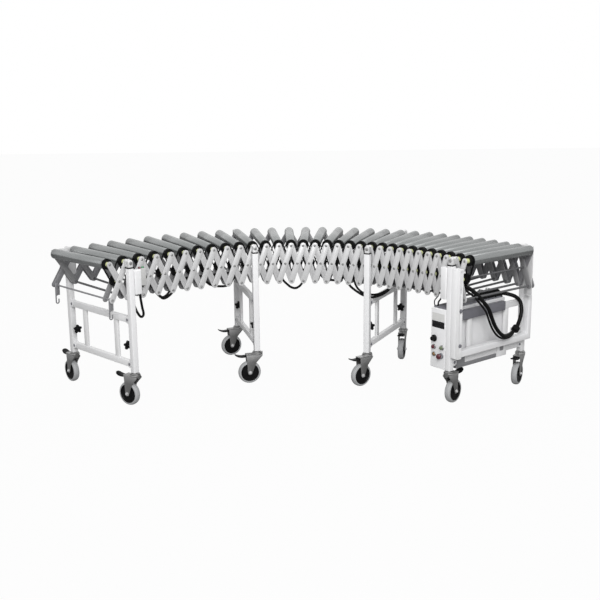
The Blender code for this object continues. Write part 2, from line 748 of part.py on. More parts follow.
def fork_mesh():
    """Caster fork with its swivel head, stem, axle and brake pedal; the wheel trails along +X."""
    inside = WHEEL_WIDTH / 2 + FORK_SIDE_GAP
    middle = FORK_TOP - CROWN_THICKNESS / 2
    nose = arc((CASTER_TRAIL, WHEEL_RADIUS), FORK_NOSE_RADIUS, -math.pi, 0, 3)
    outline = [*nose, (FORK_BACK, middle), (-FORK_FRONT, middle)]
    cheeks = bmesh.new()
    cheek = plate(outline, FORK_PLATE)
    upright = Matrix.Rotation(math.pi / 2, 4, "X")
    for side in (-1, 1):
        offset = side * (inside + FORK_PLATE / 2)
        add_mesh(cheeks, cheek, Matrix.Translation((0, offset, 0)) @ upright)
    crown = bmesh.new()
    reach = inside + FORK_PLATE / 2
    add_box(crown, (CROWN_INSET - FORK_FRONT, -reach, FORK_TOP - CROWN_THICKNESS),
            (FORK_BACK - CROWN_INSET, reach, FORK_TOP))
    axle = bmesh.new()
    add_rod(axle, (CASTER_TRAIL, -reach, WHEEL_RADIUS), (CASTER_TRAIL, reach, WHEEL_RADIUS),
            CASTER_AXLE_RADIUS, PIN_SIDES)
    head = bmesh.new()
    add_rod(head, (0, 0, (middle + FORK_TOP) / 2), (0, 0, POST_BOTTOM - SWIVEL_GAP),
            SWIVEL_RADIUS, 6)
    stem = bmesh.new()
    add_rod(stem, (0, 0, FORK_TOP + SWIVEL_STEP), (0, 0, POST_BOTTOM + STEM_LENGTH), STEM_RADIUS, PIN_SIDES)
    pedal = bmesh.new()
    low = (FORK_BACK - PEDAL_THICK, -PEDAL_WIDE / 2, FORK_TOP - PEDAL_RISE)
    high = (FORK_BACK + PEDAL_LENGTH, PEDAL_WIDE / 2, FORK_TOP - PEDAL_RISE + PEDAL_THICK)
    add_box(pedal, low, high)
    return combine(to_mesh(cheeks), [
        ("UNION", to_mesh(crown)),
        ("UNION", to_mesh(axle)),
        ("UNION", to_mesh(head)),
        ("UNION", to_mesh(stem)),
        ("UNION", to_mesh(pedal)),
    ])


def build_casters(build, places):
    fork, wheel = fork_mesh(), wheel_mesh()
    level = Matrix.Rotation(math.pi / WHEEL_SIDES, 4, "Z")
    sides = (("front", 0, FRONT_CASTER_ANGLES), ("rear", POST_SPACING, REAR_CASTER_ANGLES))
    for name, across, angles in sides:
        for number, angle in enumerate(angles):
            middle = stand_frame(places, number) @ Vector((0, across, 0))
            frame = Matrix.Translation(middle) @ Matrix.Rotation(math.radians(angle), 4, "Z")
            build.piece(f"{name}_fork_{number + 1}", fork, "fork_zinc", frame)
            axle = frame @ Matrix.Translation((CASTER_TRAIL, 0, WHEEL_RADIUS)) @ AXIS_Y
            build.piece(f"{name}_wheel_{number + 1}", wheel, "grey_tyre", axle @ level)


def panel_place(frame, control):
    """Point on the cabinet's panel for a control, facing the front."""
    _, _, share_across, share_up = control
    low, high = cabinet_corners()
    x = low.x + (high.x - low.x) * share_across
    z = low.z + (high.z - low.z) * share_up
    return frame @ Vector((x, low.y, z))


def cabinet_corners():
    """Corners of the cabinet in the last stand's frame, flush with the front post's face."""
    near = CABINET_SETBACK - POST_SIDE / 2
    face = -POST_SIDE / 2 - CABINET_GAP
    low = Vector((face - CABINET_WIDE, near, CABINET_BOTTOM))
    high = Vector((face, near + CABINET_LONG, CABINET_TOP))
    return low, high


def control_solid(bm, x, z, face, radius, front, back, sides=CONTROL_SIDES):
    """Round bar square to the panel, from one distance before its face to one behind it."""
    add_rod(bm, (x, face - front, z), (x, face + back, z), radius, sides)


def build_cabinet(build, places):
    """Cabinet with a panel, a tray on top, an amber lamp and bores for the moving controls."""
    frame = stand_frame(places, len(STAND_STATIONS) - 1)
    low, high = cabinet_corners()
    shell = bmesh.new()
    add_box(shell, low, high)
    bmesh.ops.bevel(shell, geom=[e for e in shell.edges if abs(e.verts[0].co.z - e.verts[1].co.z) > 0],
                    offset=CABINET_BEVEL, segments=1, affect="EDGES")
    tray = bmesh.new()
    inset = Vector((TRAY_INSET, TRAY_INSET, 0))
    add_box(tray, Vector((low.x, low.y, high.z - TRAY_TALL)) + inset,
            Vector((high.x, high.y, high.z + TRAY_TALL)) - inset)
    lamp = bmesh.new()
    holes = bmesh.new()
    wide, tall = high.x - low.x, high.z - low.z
    for control in (KNOB_CONTROL, STOP_CONTROL, START_CONTROL, EMERGENCY_CONTROL):
        radius, _, share_across, share_up = control
        x, z = low.x + wide * share_across, low.z + tall * share_up
        bore = (radius * SHAFT_SHARE + SWITCH_PLAY) / math.cos(math.pi / CONTROL_SIDES)
        control_solid(holes, x, z, low.y, bore, PANEL_LIP, SWITCH_HOLE_DEPTH)
    radius, height, share_across, share_up = LAMP_CONTROL
    control_solid(lamp, low.x + wide * share_across, low.z + tall * share_up, low.y,
                  radius, height, CONTROL_SINK)
    mesh = combine(to_mesh(shell), [
        ("UNION", to_mesh(tray)),
        ("UNION", to_mesh(lamp)),
        ("DIFFERENCE", to_mesh(holes)),
    ])
    build.piece("control_cabinet", mesh, "white_paint", frame)
    controls = (
        ("speed_knob", KNOB_CONTROL, "black_plastic", CAP_GAP),
        ("stop_button", STOP_CONTROL, "red_plastic", CAP_TRAVEL + CAP_GAP),
        ("start_button", START_CONTROL, "green_plastic", CAP_TRAVEL + CAP_GAP),
        ("emergency_stop", EMERGENCY_CONTROL, "red_plastic", CAP_TRAVEL + CAP_GAP),
    )
    for name, control, material, gap in controls:
        build.piece(name, control_mesh(control, gap), material,
                    Matrix.Translation(panel_place(frame, control)) @ frame.to_3x3().to_4x4())


def control_mesh(control, gap):
    """Cap with a shaft, in one turned profile; the cap stands off the panel by its travel."""
    radius, height, _, _ = control
    shaft = radius * SHAFT_SHARE
    cap, stem = bmesh.new(), bmesh.new()
    add_rod(cap, (0, -height - gap, 0), (0, -gap, 0), radius, CONTROL_SIDES)
    add_rod(stem, (0, -gap - height / 2, 0), (0, SWITCH_HOLE_DEPTH - gap - CAP_GAP, 0),
            shaft, CONTROL_SIDES)
    return combine(to_mesh(cap), [("UNION", to_mesh(stem))])


def hook_outline():
    """Flat bar hanging from the rod, ending in an open hook, as (along, height) points."""
    half = HOOK_WIDE / 2
    bend = -HOOK_DROP + HOOK_BEND_RADIUS
    outer, inner = HOOK_BEND_RADIUS, HOOK_BEND_RADIUS - HOOK_WIRE_WIDE
    centre = (-half + outer, bend)
    points = [(half, half), (-half, half), (-half, bend)]
    points += arc(centre, outer, math.pi, TAU, HOOK_BEND_STEPS)[1:]
    points += [(centre[0] + outer, bend + HOOK_TIP), (centre[0] + inner, bend + HOOK_TIP)]
    points += arc(centre, inner, TAU, math.pi, HOOK_BEND_STEPS)
    neck = bend + HOOK_TIP + HOOK_WIDE
    points += [(centre[0] - inner, neck), (half, neck)]
    return points


def build_hooks(build, front, rear):
    """Rod across the first bottom pivots with a coupling hook at each end, turning together."""
    near, far = front.bottom(0), rear.bottom(0)
    run = far - near
    heading = run.normalized()
    start = LINK_THICKNESS - LATTICE_DEEP / 2 + ROD_END_GAP
    along = heading.cross(Vector((0, 0, 1))).normalized()
    up = along.cross(heading)
    frame = Matrix((along, heading, up)).transposed().to_4x4()
    rod, hooks = bmesh.new(), bmesh.new()
    end = run.length - start
    add_rod(rod, (0, start, 0), (0, end, 0), HOOK_ROD_RADIUS, 6)
    first = LATTICE_DEEP / 2 + HOOK_SETBACK + HOOK_THICK / 2
    for across in (first, run.length - first):
        add_mesh(hooks, upright_plate(hook_outline(), HOOK_THICK, across), Matrix())
    mesh = combine(to_mesh(rod), [("UNION", to_mesh(hooks))])
    build.piece("hook_bar", mesh, "dark_steel", Matrix.Translation(near) @ frame)


def bed_point(places, station, across, height):
    """Point at a fractional station number, counted from nought."""
    index = min(int(station), len(places) - 2)
    share = station - index
    return places[index].place(0, across, height).lerp(places[index + 1].place(0, across, height), share)


def smooth(points, count):
    """Even samples along a Catmull-Rom curve through the points."""
    padded = [2 * points[0] - points[1], *points, 2 * points[-1] - points[-2]]
    fine = []
    for a, b, c, d in zip(padded, padded[1:], padded[2:], padded[3:]):
        for step in range(24):
            t = step / 24
            fine.append(0.5 * (2 * b + (c - a) * t + (2 * a - 5 * b + 4 * c - d) * t * t
                               + (3 * b - a - 3 * c + d) * t**3))
    fine.append(points[-1])
    runs = [0.0]
    for a, b in zip(fine, fine[1:]):
        runs.append(runs[-1] + (b - a).length)
    samples = []
    here = 0
    for step in range(count):
        target = runs[-1] * step / (count - 1)
        while here < len(fine) - 2 and runs[here + 1] < target:
            here += 1
        span = runs[here + 1] - runs[here]
        samples.append(fine[here].lerp(fine[here + 1], (target - runs[here]) / span if span else 0))
    return samples


def cable_points(places):
    """Where the cable runs: behind the front posts, then round the loop to the cabinet."""
    last = stand_frame(places, len(STAND_STATIONS) - 1)
    thin = [bed_point(places, station, -CABLE_FORWARD, AXLE_HEIGHT - drop)
            for station, drop in CABLE_ROUTE]
    thick = [last @ Vector((along, share * POST_SPACING, AXLE_HEIGHT - drop))
             for along, share, drop in LOOP_ROUTE]
    return smooth(thin, CABLE_POINTS), smooth(thick, LOOP_POINTS)


def build_cable(build, places):
    """One bent tube, which grows thicker where the loop starts."""
    thin, thick = cable_points(places)
    curve = bpy.data.curves.new("cable", "CURVE")
    curve.dimensions = "3D"
    curve.bevel_depth = CABLE_RADIUS
    curve.bevel_resolution = 0
    curve.use_fill_caps = True
    spline = curve.splines.new("POLY")
    spline.points.add(len(thin) + len(thick) - 1)
    for number, (point, place) in enumerate(zip(spline.points, thin + thick)):
        point.co = (*place, 1)
        point.radius = CONDUIT_RADIUS / CABLE_RADIUS if number >= len(thin) else 1
    item = bpy.data.objects.new("cable", curve)
    bpy.context.scene.collection.objects.link(item)
    mesh = evaluated_mesh(item)
    bpy.data.objects.remove(item, do_unlink=True)
    bm = bmesh.new()
    bm.from_mesh(mesh)
    bmesh.ops.remove_doubles(bm, verts=bm.verts, dist=CABLE_RADIUS * 1e-3)
    bm.to_mesh(mesh)
    bm.free()
    mesh.materials.clear()
    mesh.shade_smooth()
    build.piece("cable_harness", mesh, "black_cable")


def main():
    clear_scene()
    build = Builder()
    places = stations()
    front = front_lattice(build, places)
    rear = rear_lattice(build, places, front)
    build_rollers(build, places)
    build_stands(build, places)
    build_casters(build, places)
    build_cabinet(build, places)
    build_hooks(build, front, rear)
    build_cable(build, places)
    build.recentre()


main()
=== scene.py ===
"""Flexible roller conveyor: rollers, belts, scissor links, stands, casters and cabinet, dressed
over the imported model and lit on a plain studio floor.

Metres, +Z up. The inside of the bend, with the belts and the cabinet's panel, faces -Y.
"""

import json
import math

import bpy
from mathutils import Matrix, Vector

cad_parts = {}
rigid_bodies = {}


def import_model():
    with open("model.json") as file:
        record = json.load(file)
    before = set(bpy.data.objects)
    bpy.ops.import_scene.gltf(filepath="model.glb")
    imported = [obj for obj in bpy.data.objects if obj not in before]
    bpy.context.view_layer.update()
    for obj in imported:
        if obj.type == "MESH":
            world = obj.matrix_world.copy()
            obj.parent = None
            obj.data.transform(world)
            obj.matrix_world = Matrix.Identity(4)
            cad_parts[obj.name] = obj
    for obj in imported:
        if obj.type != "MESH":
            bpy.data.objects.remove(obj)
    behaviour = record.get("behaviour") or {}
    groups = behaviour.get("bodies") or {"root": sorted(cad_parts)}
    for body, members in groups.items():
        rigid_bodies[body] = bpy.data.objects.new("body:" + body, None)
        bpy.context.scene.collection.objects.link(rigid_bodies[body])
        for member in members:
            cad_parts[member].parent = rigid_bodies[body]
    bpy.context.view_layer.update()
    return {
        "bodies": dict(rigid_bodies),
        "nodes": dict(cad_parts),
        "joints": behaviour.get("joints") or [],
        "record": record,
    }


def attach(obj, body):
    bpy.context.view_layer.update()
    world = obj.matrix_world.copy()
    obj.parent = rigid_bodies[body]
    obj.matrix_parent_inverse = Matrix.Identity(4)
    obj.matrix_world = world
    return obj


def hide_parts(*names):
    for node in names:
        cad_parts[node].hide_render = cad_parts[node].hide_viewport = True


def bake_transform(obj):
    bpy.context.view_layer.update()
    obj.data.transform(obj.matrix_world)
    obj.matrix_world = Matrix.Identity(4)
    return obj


TAU = 2 * math.pi
UP = Vector((0, 0, 1))
# Stand a flat outline up: along the bed, and across it
RISE = Matrix.Rotation(math.pi / 2, 4, "X")
TIP = Matrix(((0, 0, 1, 0), (1, 0, 0, 0), (0, 1, 0, 0), (0, 0, 0, 1)))

# Bed
ROLLERS = 31
CELLS = range(ROLLERS - 1)
ROLLER_LENGTH = 0.45
TUBE_RADIUS = 0.025
BORE = 0.0062
AXLE_HEIGHT = 0.72
LINK_PITCH = 0.196
LINK_WIDTH = 0.03
LINK_THICK = 0.004
HALF_LINK_THICK = 0.0035
LAYER_GAP = 0.0015
LATTICE_DEEP = 2 * LINK_THICK + LAYER_GAP
ROLLER_START = LATTICE_DEEP + 0.0006
REAR_START = ROLLER_START + ROLLER_LENGTH + 0.0016

# Bend: headings of the rollers and the pitch between them
MIDDLE_HEADING = math.radians(3.2)
HALF_TURN = math.radians(50.7)
SKEW = math.radians(3.2)
TURN_LINEAR, TURN_CUBIC = 1.227, 0.227
LEAST_PITCH, PITCH_GAIN, LEAST_AT = 0.056, 0.0704, 0.262

# Stands
STAND_STATIONS = (1, 10, 20, 29)
STAND_YAWS = (0.0, 0.0, 0.0, math.radians(-0.8))
FRONT_POST_OFFSET = 0.022
REAR_POST_OFFSET = 0.0475
POST_SPACING = REAR_START + LATTICE_DEEP + REAR_POST_OFFSET + FRONT_POST_OFFSET
POST_ENDS = ((0.0, 1), (POST_SPACING, -1))
POST_SIDE = 0.03
POST_WALL = 0.0025
POST_BOTTOM = 0.172
CROSSBAR_HEIGHTS = (0.213, 0.437)
CLAMP_KNOB_HEIGHT = 0.303
POST_TOP = 0.693
LEG_TOP = 0.7345
GUSSET_TOP = 0.738

# Casters
TRAIL = 0.042
WHEEL_AXLE = 0.06
FORK_TOP = 0.158
CASTER_ANGLES = {"front": (147, 195, 217, 50), "rear": (130, 205, 255, 240)}

# Cabinet, in the last stand's own frame
CAB_LOW = Vector((-0.1125, -0.0145, 0.174))
CAB_HIGH = Vector((-0.0155, 0.4205, 0.474))
LID_TOP = CAB_HIGH.z + 0.008

# Camera, in the layout's own place: over the floor at nought, looking along +Y
CAMERA_HEIGHT = 1.6003
CAMERA_PITCH = 0.2344
CAMERA_ROLL = -0.0111
CAMERA_LENS = 57.55
FIRST_STATION = (-0.8915, 4.4373)

# Studio: each light's name, place, target, size and power
LIGHTS = (("key", (0.3, -4.7, 3.3), (0, 0, 0.5), 2.6, 245),
          ("fill", (-3.6, -2.2, 2.4), (0, 0, 0.5), 2.4, 12),
          ("top", (0.2, 1.2, 4.2), (0, 0, 0.7), 3.2, 55))
SOFT_LIGHT = 0.56
FLOOR_SIZE = 30
FLOOR_GREY = 0.3
FLOOR_GLOW = 0.965


# The bed's course

class Station:
    """One roller's place on the front face line, with the directions along and across the bed."""

    def __init__(self, x, y, angle):
        self.point = Vector((x, y, 0))
        self.angle = angle
        self.across = Vector((math.sin(angle), math.cos(angle), 0))
        self.along = Vector((math.cos(angle), -math.sin(angle), 0))

    def place(self, along, across, height):
        return self.point + self.along * along + self.across * across + UP * height

    def frame(self, along=0.0, across=0.0):
        turn = Matrix.Rotation(-self.angle, 4, "Z")
        return Matrix.Translation(self.place(along, across, 0)) @ turn


def roller_angle(index):
    middle = ROLLERS // 2
    share = (index - middle) / middle
    swing = TURN_LINEAR * share - TURN_CUBIC * share**3
    return MIDDLE_HEADING + HALF_TURN * swing + SKEW * (1 - share**2)


def course(start):
    """All the stations, from the first one's point on the floor."""
    made = [Station(start[0], start[1], roller_angle(0))]
    for index in CELLS:
        here, angle = made[-1], roller_angle(index + 1)
        heading = (here.angle + angle) / 2
        pitch = LEAST_PITCH + PITCH_GAIN * (1 - (index + 0.5) / len(CELLS) - LEAST_AT) ** 2
        x = here.point.x + pitch * math.cos(heading)
        y = here.point.y - pitch * math.sin(heading)
        made.append(Station(x, y, angle))
    return made


def stand_frame(number):
    """Frame on the floor under a stand's front post; Y points at its rear post."""
    frame = PLACES[STAND_STATIONS[number]].frame(across=-FRONT_POST_OFFSET)
    return frame @ Matrix.Rotation(-STAND_YAWS[number], 4, "Z")


def basis(x, y, z):
    return Matrix((x, y, z)).transposed().to_4x4()


def move(x, y, z):
    return Matrix.Translation((x, y, z))


def aim(point, direction):
    """Frame at a point whose Z runs along a direction."""
    turn = direction.to_track_quat("Z", "Y").to_matrix().to_4x4()
    return Matrix.Translation(point) @ turn


def bar_frame(start, end, away, shift=0.0):
    """Middle of a bar, with X along it and Z away from the rollers, shifted that way."""
    run = (end - start).normalized()
    middle = (start + end) / 2 + away * shift
    return Matrix.Translation(middle) @ basis(run, away.cross(run), away)


class Lattice:
    """Pivot points of one side's scissor lattice."""

    def __init__(self, across, outward):
        self.outward = outward
        self.layer = (LINK_THICK + LAYER_GAP) / 2
        self.points = [station.place(0, across, 0) for station in PLACES]
        chords = [(b - a).length for a, b in zip(self.points, self.points[1:])]
        near = [chords[0], *[(a + b) / 2 for a, b in zip(chords, chords[1:])], chords[-1]]
        self.feet = [AXLE_HEIGHT - math.sqrt(LINK_PITCH**2 - chord**2) for chord in near]

    def top(self, index):
        return self.points[index] + UP * AXLE_HEIGHT

    def bottom(self, index):
        return self.points[index] + UP * self.feet[index]

    def out(self, index):
        index = min(index, len(self.points) - 2)
        chord = (self.points[index + 1] - self.points[index]).normalized()
        return chord.cross(UP) * -self.outward

    def crossing(self, index):
        rise = AXLE_HEIGHT - self.feet[index]
        fall = AXLE_HEIGHT - self.feet[index + 1]
        return self.bottom(index).lerp(self.top(index + 1), rise / (rise + fall))

    def link_frames(self, outer):
        """Frames of one layer's links, from foot to top in the outer and top to foot inside."""
        start, end = (self.bottom, self.top) if outer else (self.top, self.bottom)
        shift = self.layer if outer else -self.layer
        return [bar_frame(start(i), end(i + 1), self.out(i), shift) for i in CELLS]


# Modelling by hand

def pick(*items):
    bpy.ops.object.select_all(action="DESELECT")
    for item in items:
        item.select_set(True)
    bpy.context.view_layer.objects.active = items[0]


def edit(item, what="EDGE"):
    pick(item)
    bpy.ops.object.mode_set(mode="EDIT")
    bpy.ops.mesh.select_mode(type=what)


def leave():
    bpy.ops.object.mode_set(mode="OBJECT")


def take_all():
    """Selects every point of the piece being edited."""
    bpy.ops.mesh.select_all(action="SELECT")


def extrude(step):
    bpy.ops.mesh.extrude_region_move(TRANSFORM_OT_translate={"value": step})


def close_up(item):
    """Turns all the faces outward and goes back to the object."""
    take_all()
    bpy.ops.mesh.normals_make_consistent(inside=False)
    leave()
    return item


def choose(item, test, what="FACE"):
    """Selects the faces or edges whose middle and direction pass a test."""
    leave()
    mesh = item.data
    for group in (mesh.vertices, mesh.edges, mesh.polygons):
        group.foreach_set("select", [False] * len(group))
    if what == "FACE":
        for face in mesh.polygons:
            face.select = test(face.center, face.normal)
    else:
        for line in mesh.edges:
            a, b = (mesh.vertices[i].co for i in line.vertices)
            line.select = test((a + b) / 2, (b - a).normalized())
    bpy.ops.object.mode_set(mode="EDIT")
    bpy.ops.mesh.select_mode(type=what)


def round_edges(item, test, radius, segments):
    """Rounds the edges that pass a test."""
    choose(item, test, "EDGE")
    bpy.ops.mesh.bevel(offset=radius, segments=segments, affect="EDGES")
    leave()


def upright(middle, way):
    return abs(way.z) > 0.9


def named(name):
    item = bpy.context.object
    item.name = name
    item.data.name = name
    return item


def drawn(name, points, closed):
    """Starts as a small plane merged to one corner, drawn on from point to point by extrusion."""
    bpy.ops.object.select_all(action="DESELECT")
    bpy.ops.mesh.primitive_plane_add(size=0.01, location=(0, 0, 0))
    item = named(name)
    edit(item, "VERT")
    bpy.ops.mesh.merge(type="CENTER")
    bpy.ops.transform.translate(value=points[0])
    for before, after in zip(points, points[1:]):
        extrude(tuple(b - a for a, b in zip(before, after)))
    take_all()
    if closed:
        bpy.ops.mesh.edge_face_add()
    return item


def flat_plate(name, outline, thick):
    """Outline of (x, y) points drawn on the floor plane and extruded evenly both ways."""
    item = drawn(name, [(x, y, -thick / 2) for x, y in outline], closed=True)
    extrude((0, 0, thick))
    return close_up(item)


def spun(name, profile, sides, angle=40):
    """Profile of (radius, height) points spun round Z, shaded smooth up to an angle."""
    item = drawn(name, [(r, 0, z) for r, z in profile], closed=False)
    bpy.ops.mesh.spin(steps=sides, angle=TAU, center=(0, 0, 0), axis=(0, 0, 1))
    take_all()
    bpy.ops.mesh.remove_doubles(threshold=1e-6)
    return smooth(close_up(item), angle)


def block(name, low, high):
    """Cube at its size and place."""
    low, high = Vector(low), Vector(high)
    bpy.ops.object.select_all(action="DESELECT")
    bpy.ops.mesh.primitive_cube_add(size=1, location=(low + high) / 2)
    item = named(name)
    item.scale = high - low
    pick(item)
    bpy.ops.object.transform_apply(location=True, rotation=True, scale=True)
    return item


def rod(name, start, end, radius, sides=16):
    start, end = Vector(start), Vector(end)
    bpy.ops.object.select_all(action="DESELECT")
    bpy.ops.mesh.primitive_cylinder_add(vertices=sides, radius=radius, depth=(end - start).length)
    item = named(name)
    item.data.transform(aim((start + end) / 2, end - start))
    return item


def soften(item, width, segments=2, angle=35):
    """Rounds the sharp edges and shades the piece."""
    pick(item)
    bevel = item.modifiers.new("soft edges", "BEVEL")
    bevel.width = width
    bevel.segments = segments
    bevel.limit_method = "ANGLE"
    bevel.angle_limit = math.radians(angle)
    bevel.harden_normals = False
    bpy.ops.object.modifier_apply(modifier=bevel.name)
    return smooth(item)


def smooth(item, angle=40):
    pick(item)
    bpy.ops.object.shade_smooth_by_angle(angle=math.radians(angle))
    return item


def box(name, low, high, radius):
    """Block with its upright edges rounded by a radius and the others softened."""
    item = block(name, low, high)
    round_edges(item, upright, radius, 5)
    return soften(item, 0.0012, 2, 50)


def tube(name, points, radius, sides):
    """Round cable along points, as a curve with a bevel, made a mesh."""
    curve = bpy.data.curves.new(name, "CURVE")
    curve.dimensions = "3D"
    curve.bevel_depth = radius
    curve.bevel_resolution = sides // 2 - 2
    curve.use_fill_caps = True
    spline = curve.splines.new("POLY")
    spline.points.add(len(points) - 1)
    for point, place in zip(spline.points, points):
        point.co = (*place, 1)
    item = bpy.data.objects.new(name, curve)
    bpy.context.scene.collection.objects.link(item)
    pick(item)
    bpy.ops.object.convert(target="MESH")
    item = named(name)
    edit(item)
    take_all()
    bpy.ops.mesh.remove_doubles(threshold=1e-6)
    leave()
    return smooth(item, 60)


def drop(*items):
    for item in items:
        bpy.data.objects.remove(item, do_unlink=True)


def cut(item, tool):
    """Takes the tool's shape out of the piece."""
    pick(item)
    modifier = item.modifiers.new("cut", "BOOLEAN")
    modifier.operation = "DIFFERENCE"
    modifier.object = tool
    bpy.ops.object.modifier_apply(modifier=modifier.name)
    drop(tool)
    return item


def joined(name, items):
    """Several pieces made one object."""
    pick(*items)
    if len(items) > 1:
        bpy.ops.object.join()
    return named(name)


def mark_local(item):
    """Keeps each point's own place on its part, for grain that follows the part."""
    mesh = item.data
    if "own_place" not in mesh.attributes:
        layer = mesh.attributes.new("own_place", "FLOAT_VECTOR", "POINT")
        layer.data.foreach_set("vector", [value for point in mesh.vertices for value in point.co])
    return item


def paint(item, finish):
    item.data.materials.clear()
    item.data.materials.append(FINISHES[finish])
    return item


def put(item, finish, body, *nodes):
    """Paints a piece that rides on a body and stands for solids of the frame."""
    paint(item, finish)
    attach(item, body)
    if nodes:
        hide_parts(*nodes)


def copies(name, master, frames, finish, body, *nodes, keep=False):
    """One piece made of copies of a master, each with its own mesh, set by its frame."""
    mark_local(master)
    made = []
    for frame in frames:
        item = bpy.data.objects.new(name, master.data.copy())
        item.data.transform(frame)
        bpy.context.scene.collection.objects.link(item)
        made.append(item)
    put(joined(name, made), finish, body, *nodes)
    if not keep:
        drop(master)


def single(name, item, frame, finish, body, *nodes):
    """One piece moved from where it was modelled to its place."""
    mark_local(item).data.transform(frame)
    item.name = name
    put(item, finish, body, *nodes)


def arc(centre, radius, start, end, steps):
    turns = [start + (end - start) * step / steps for step in range(steps + 1)]
    return [(centre[0] + radius * math.cos(a), centre[1] + radius * math.sin(a)) for a in turns]


def even(points, count):
    """Even samples along a smooth curve through the points."""
    steps = 24
    points = [Vector(point) for point in points]
    padded = [2 * points[0] - points[1], *points, 2 * points[-1] - points[-2]]
    fine = []
    for a, b, c, d in zip(padded, padded[1:], padded[2:], padded[3:]):
        for step in range(steps):
            t = step / steps
            fine.append(0.5 * (2 * b + (c - a) * t + (2 * a - 5 * b + 4 * c - d) * t * t
                               + (3 * b - a - 3 * c + d) * t**3))
    fine.append(points[-1])
    runs = [0.0]
    for a, b in zip(fine, fine[1:]):
        runs.append(runs[-1] + (b - a).length)
    samples, here = [], 0
    for step in range(count):
        target = runs[-1] * step / (count - 1)
        while here < len(fine) - 2 and runs[here + 1] < target:
            here += 1
        span = runs[here + 1] - runs[here]
        share = (target - runs[here]) / span if span else 0
        samples.append(fine[here].lerp(fine[here + 1], share))
    return samples


# Finishes

class Wiring:
    """The nodes of a material or world, each made together with its inputs."""

    def __init__(self, owner):
        owner.use_nodes = True
        self.nodes, self.links = owner.node_tree.nodes, owner.node_tree.links

    def fill(self, node, inputs):
        """Links inputs to other nodes' outputs, or sets them to plain values."""
        for name, value in inputs.items():
            if isinstance(value, bpy.types.NodeSocket):
                self.links.new(value, node.inputs[name])
            else:
                node.inputs[name].default_value = value

    def add(self, kind, inputs=None, output=0, **settings):
        """Makes a node and gives one of its outputs."""
        node = self.nodes.new(f"ShaderNode{kind}")
        for name, value in settings.items():
            setattr(node, name, value)
        self.fill(node, inputs or {})
        return node.outputs[output]


def finish_material(name, colour, roughness, metallic, spread, scale, stretch, bump, grain_scale,
                    rough_spread, own=False, coat=0.0, edge_tone=None, specular=0.5):
    """Principled finish with cloudy colour, uneven gloss and fine relief from noise."""
    material = bpy.data.materials.new(name)
    wiring = Wiring(material)
    if own:
        where = wiring.add("Attribute", output="Vector", attribute_name="own_place")
    else:
        where = wiring.add("TexCoord", output="Object")
    where = wiring.add("Mapping", {"Vector": where, "Scale": stretch}, "Vector")
    cloud = wiring.add("TexNoise", {"Vector": where, "Scale": scale, "Detail": 4}, "Fac")
    tone = wiring.add("ValToRGB", {"Fac": cloud}, "Color")
    stops = tone.node.color_ramp.elements
    for stop, position, level in ((stops[0], 0.3, 1 - spread), (stops[1], 0.7, 1 + spread)):
        stop.position = position
        stop.color = (*[min(1, c * level) for c in colour], 1)
    # Convex edges, found by pointiness, are tinted to a set tone.
    if edge_tone:
        edges = wiring.add("NewGeometry", output="Pointiness")
        share = wiring.add("MapRange", {"Value": edges, "From Min": 0.52, "From Max": 0.6},
                           "Result")
        tone = wiring.add("Mix", {"Factor": share, "A": tone, "B": (edge_tone, edge_tone, edge_tone, 1)},
                          "Result", data_type="RGBA")
    gloss = wiring.add("MapRange", {"Value": cloud, "To Min": roughness - rough_spread,
                                    "To Max": roughness + rough_spread}, "Result")
    grain = wiring.add("TexNoise", {"Vector": where, "Scale": grain_scale, "Detail": 3}, "Fac")
    relief = wiring.add("Bump", {"Height": grain, "Strength": bump, "Distance": 0.0004}, "Normal")
    wiring.fill(wiring.nodes["Principled BSDF"], {
        "Base Color": tone, "Metallic": metallic, "Roughness": gloss, "Coat Weight": coat,
        "Specular IOR Level": specular, "Normal": relief})
    return material


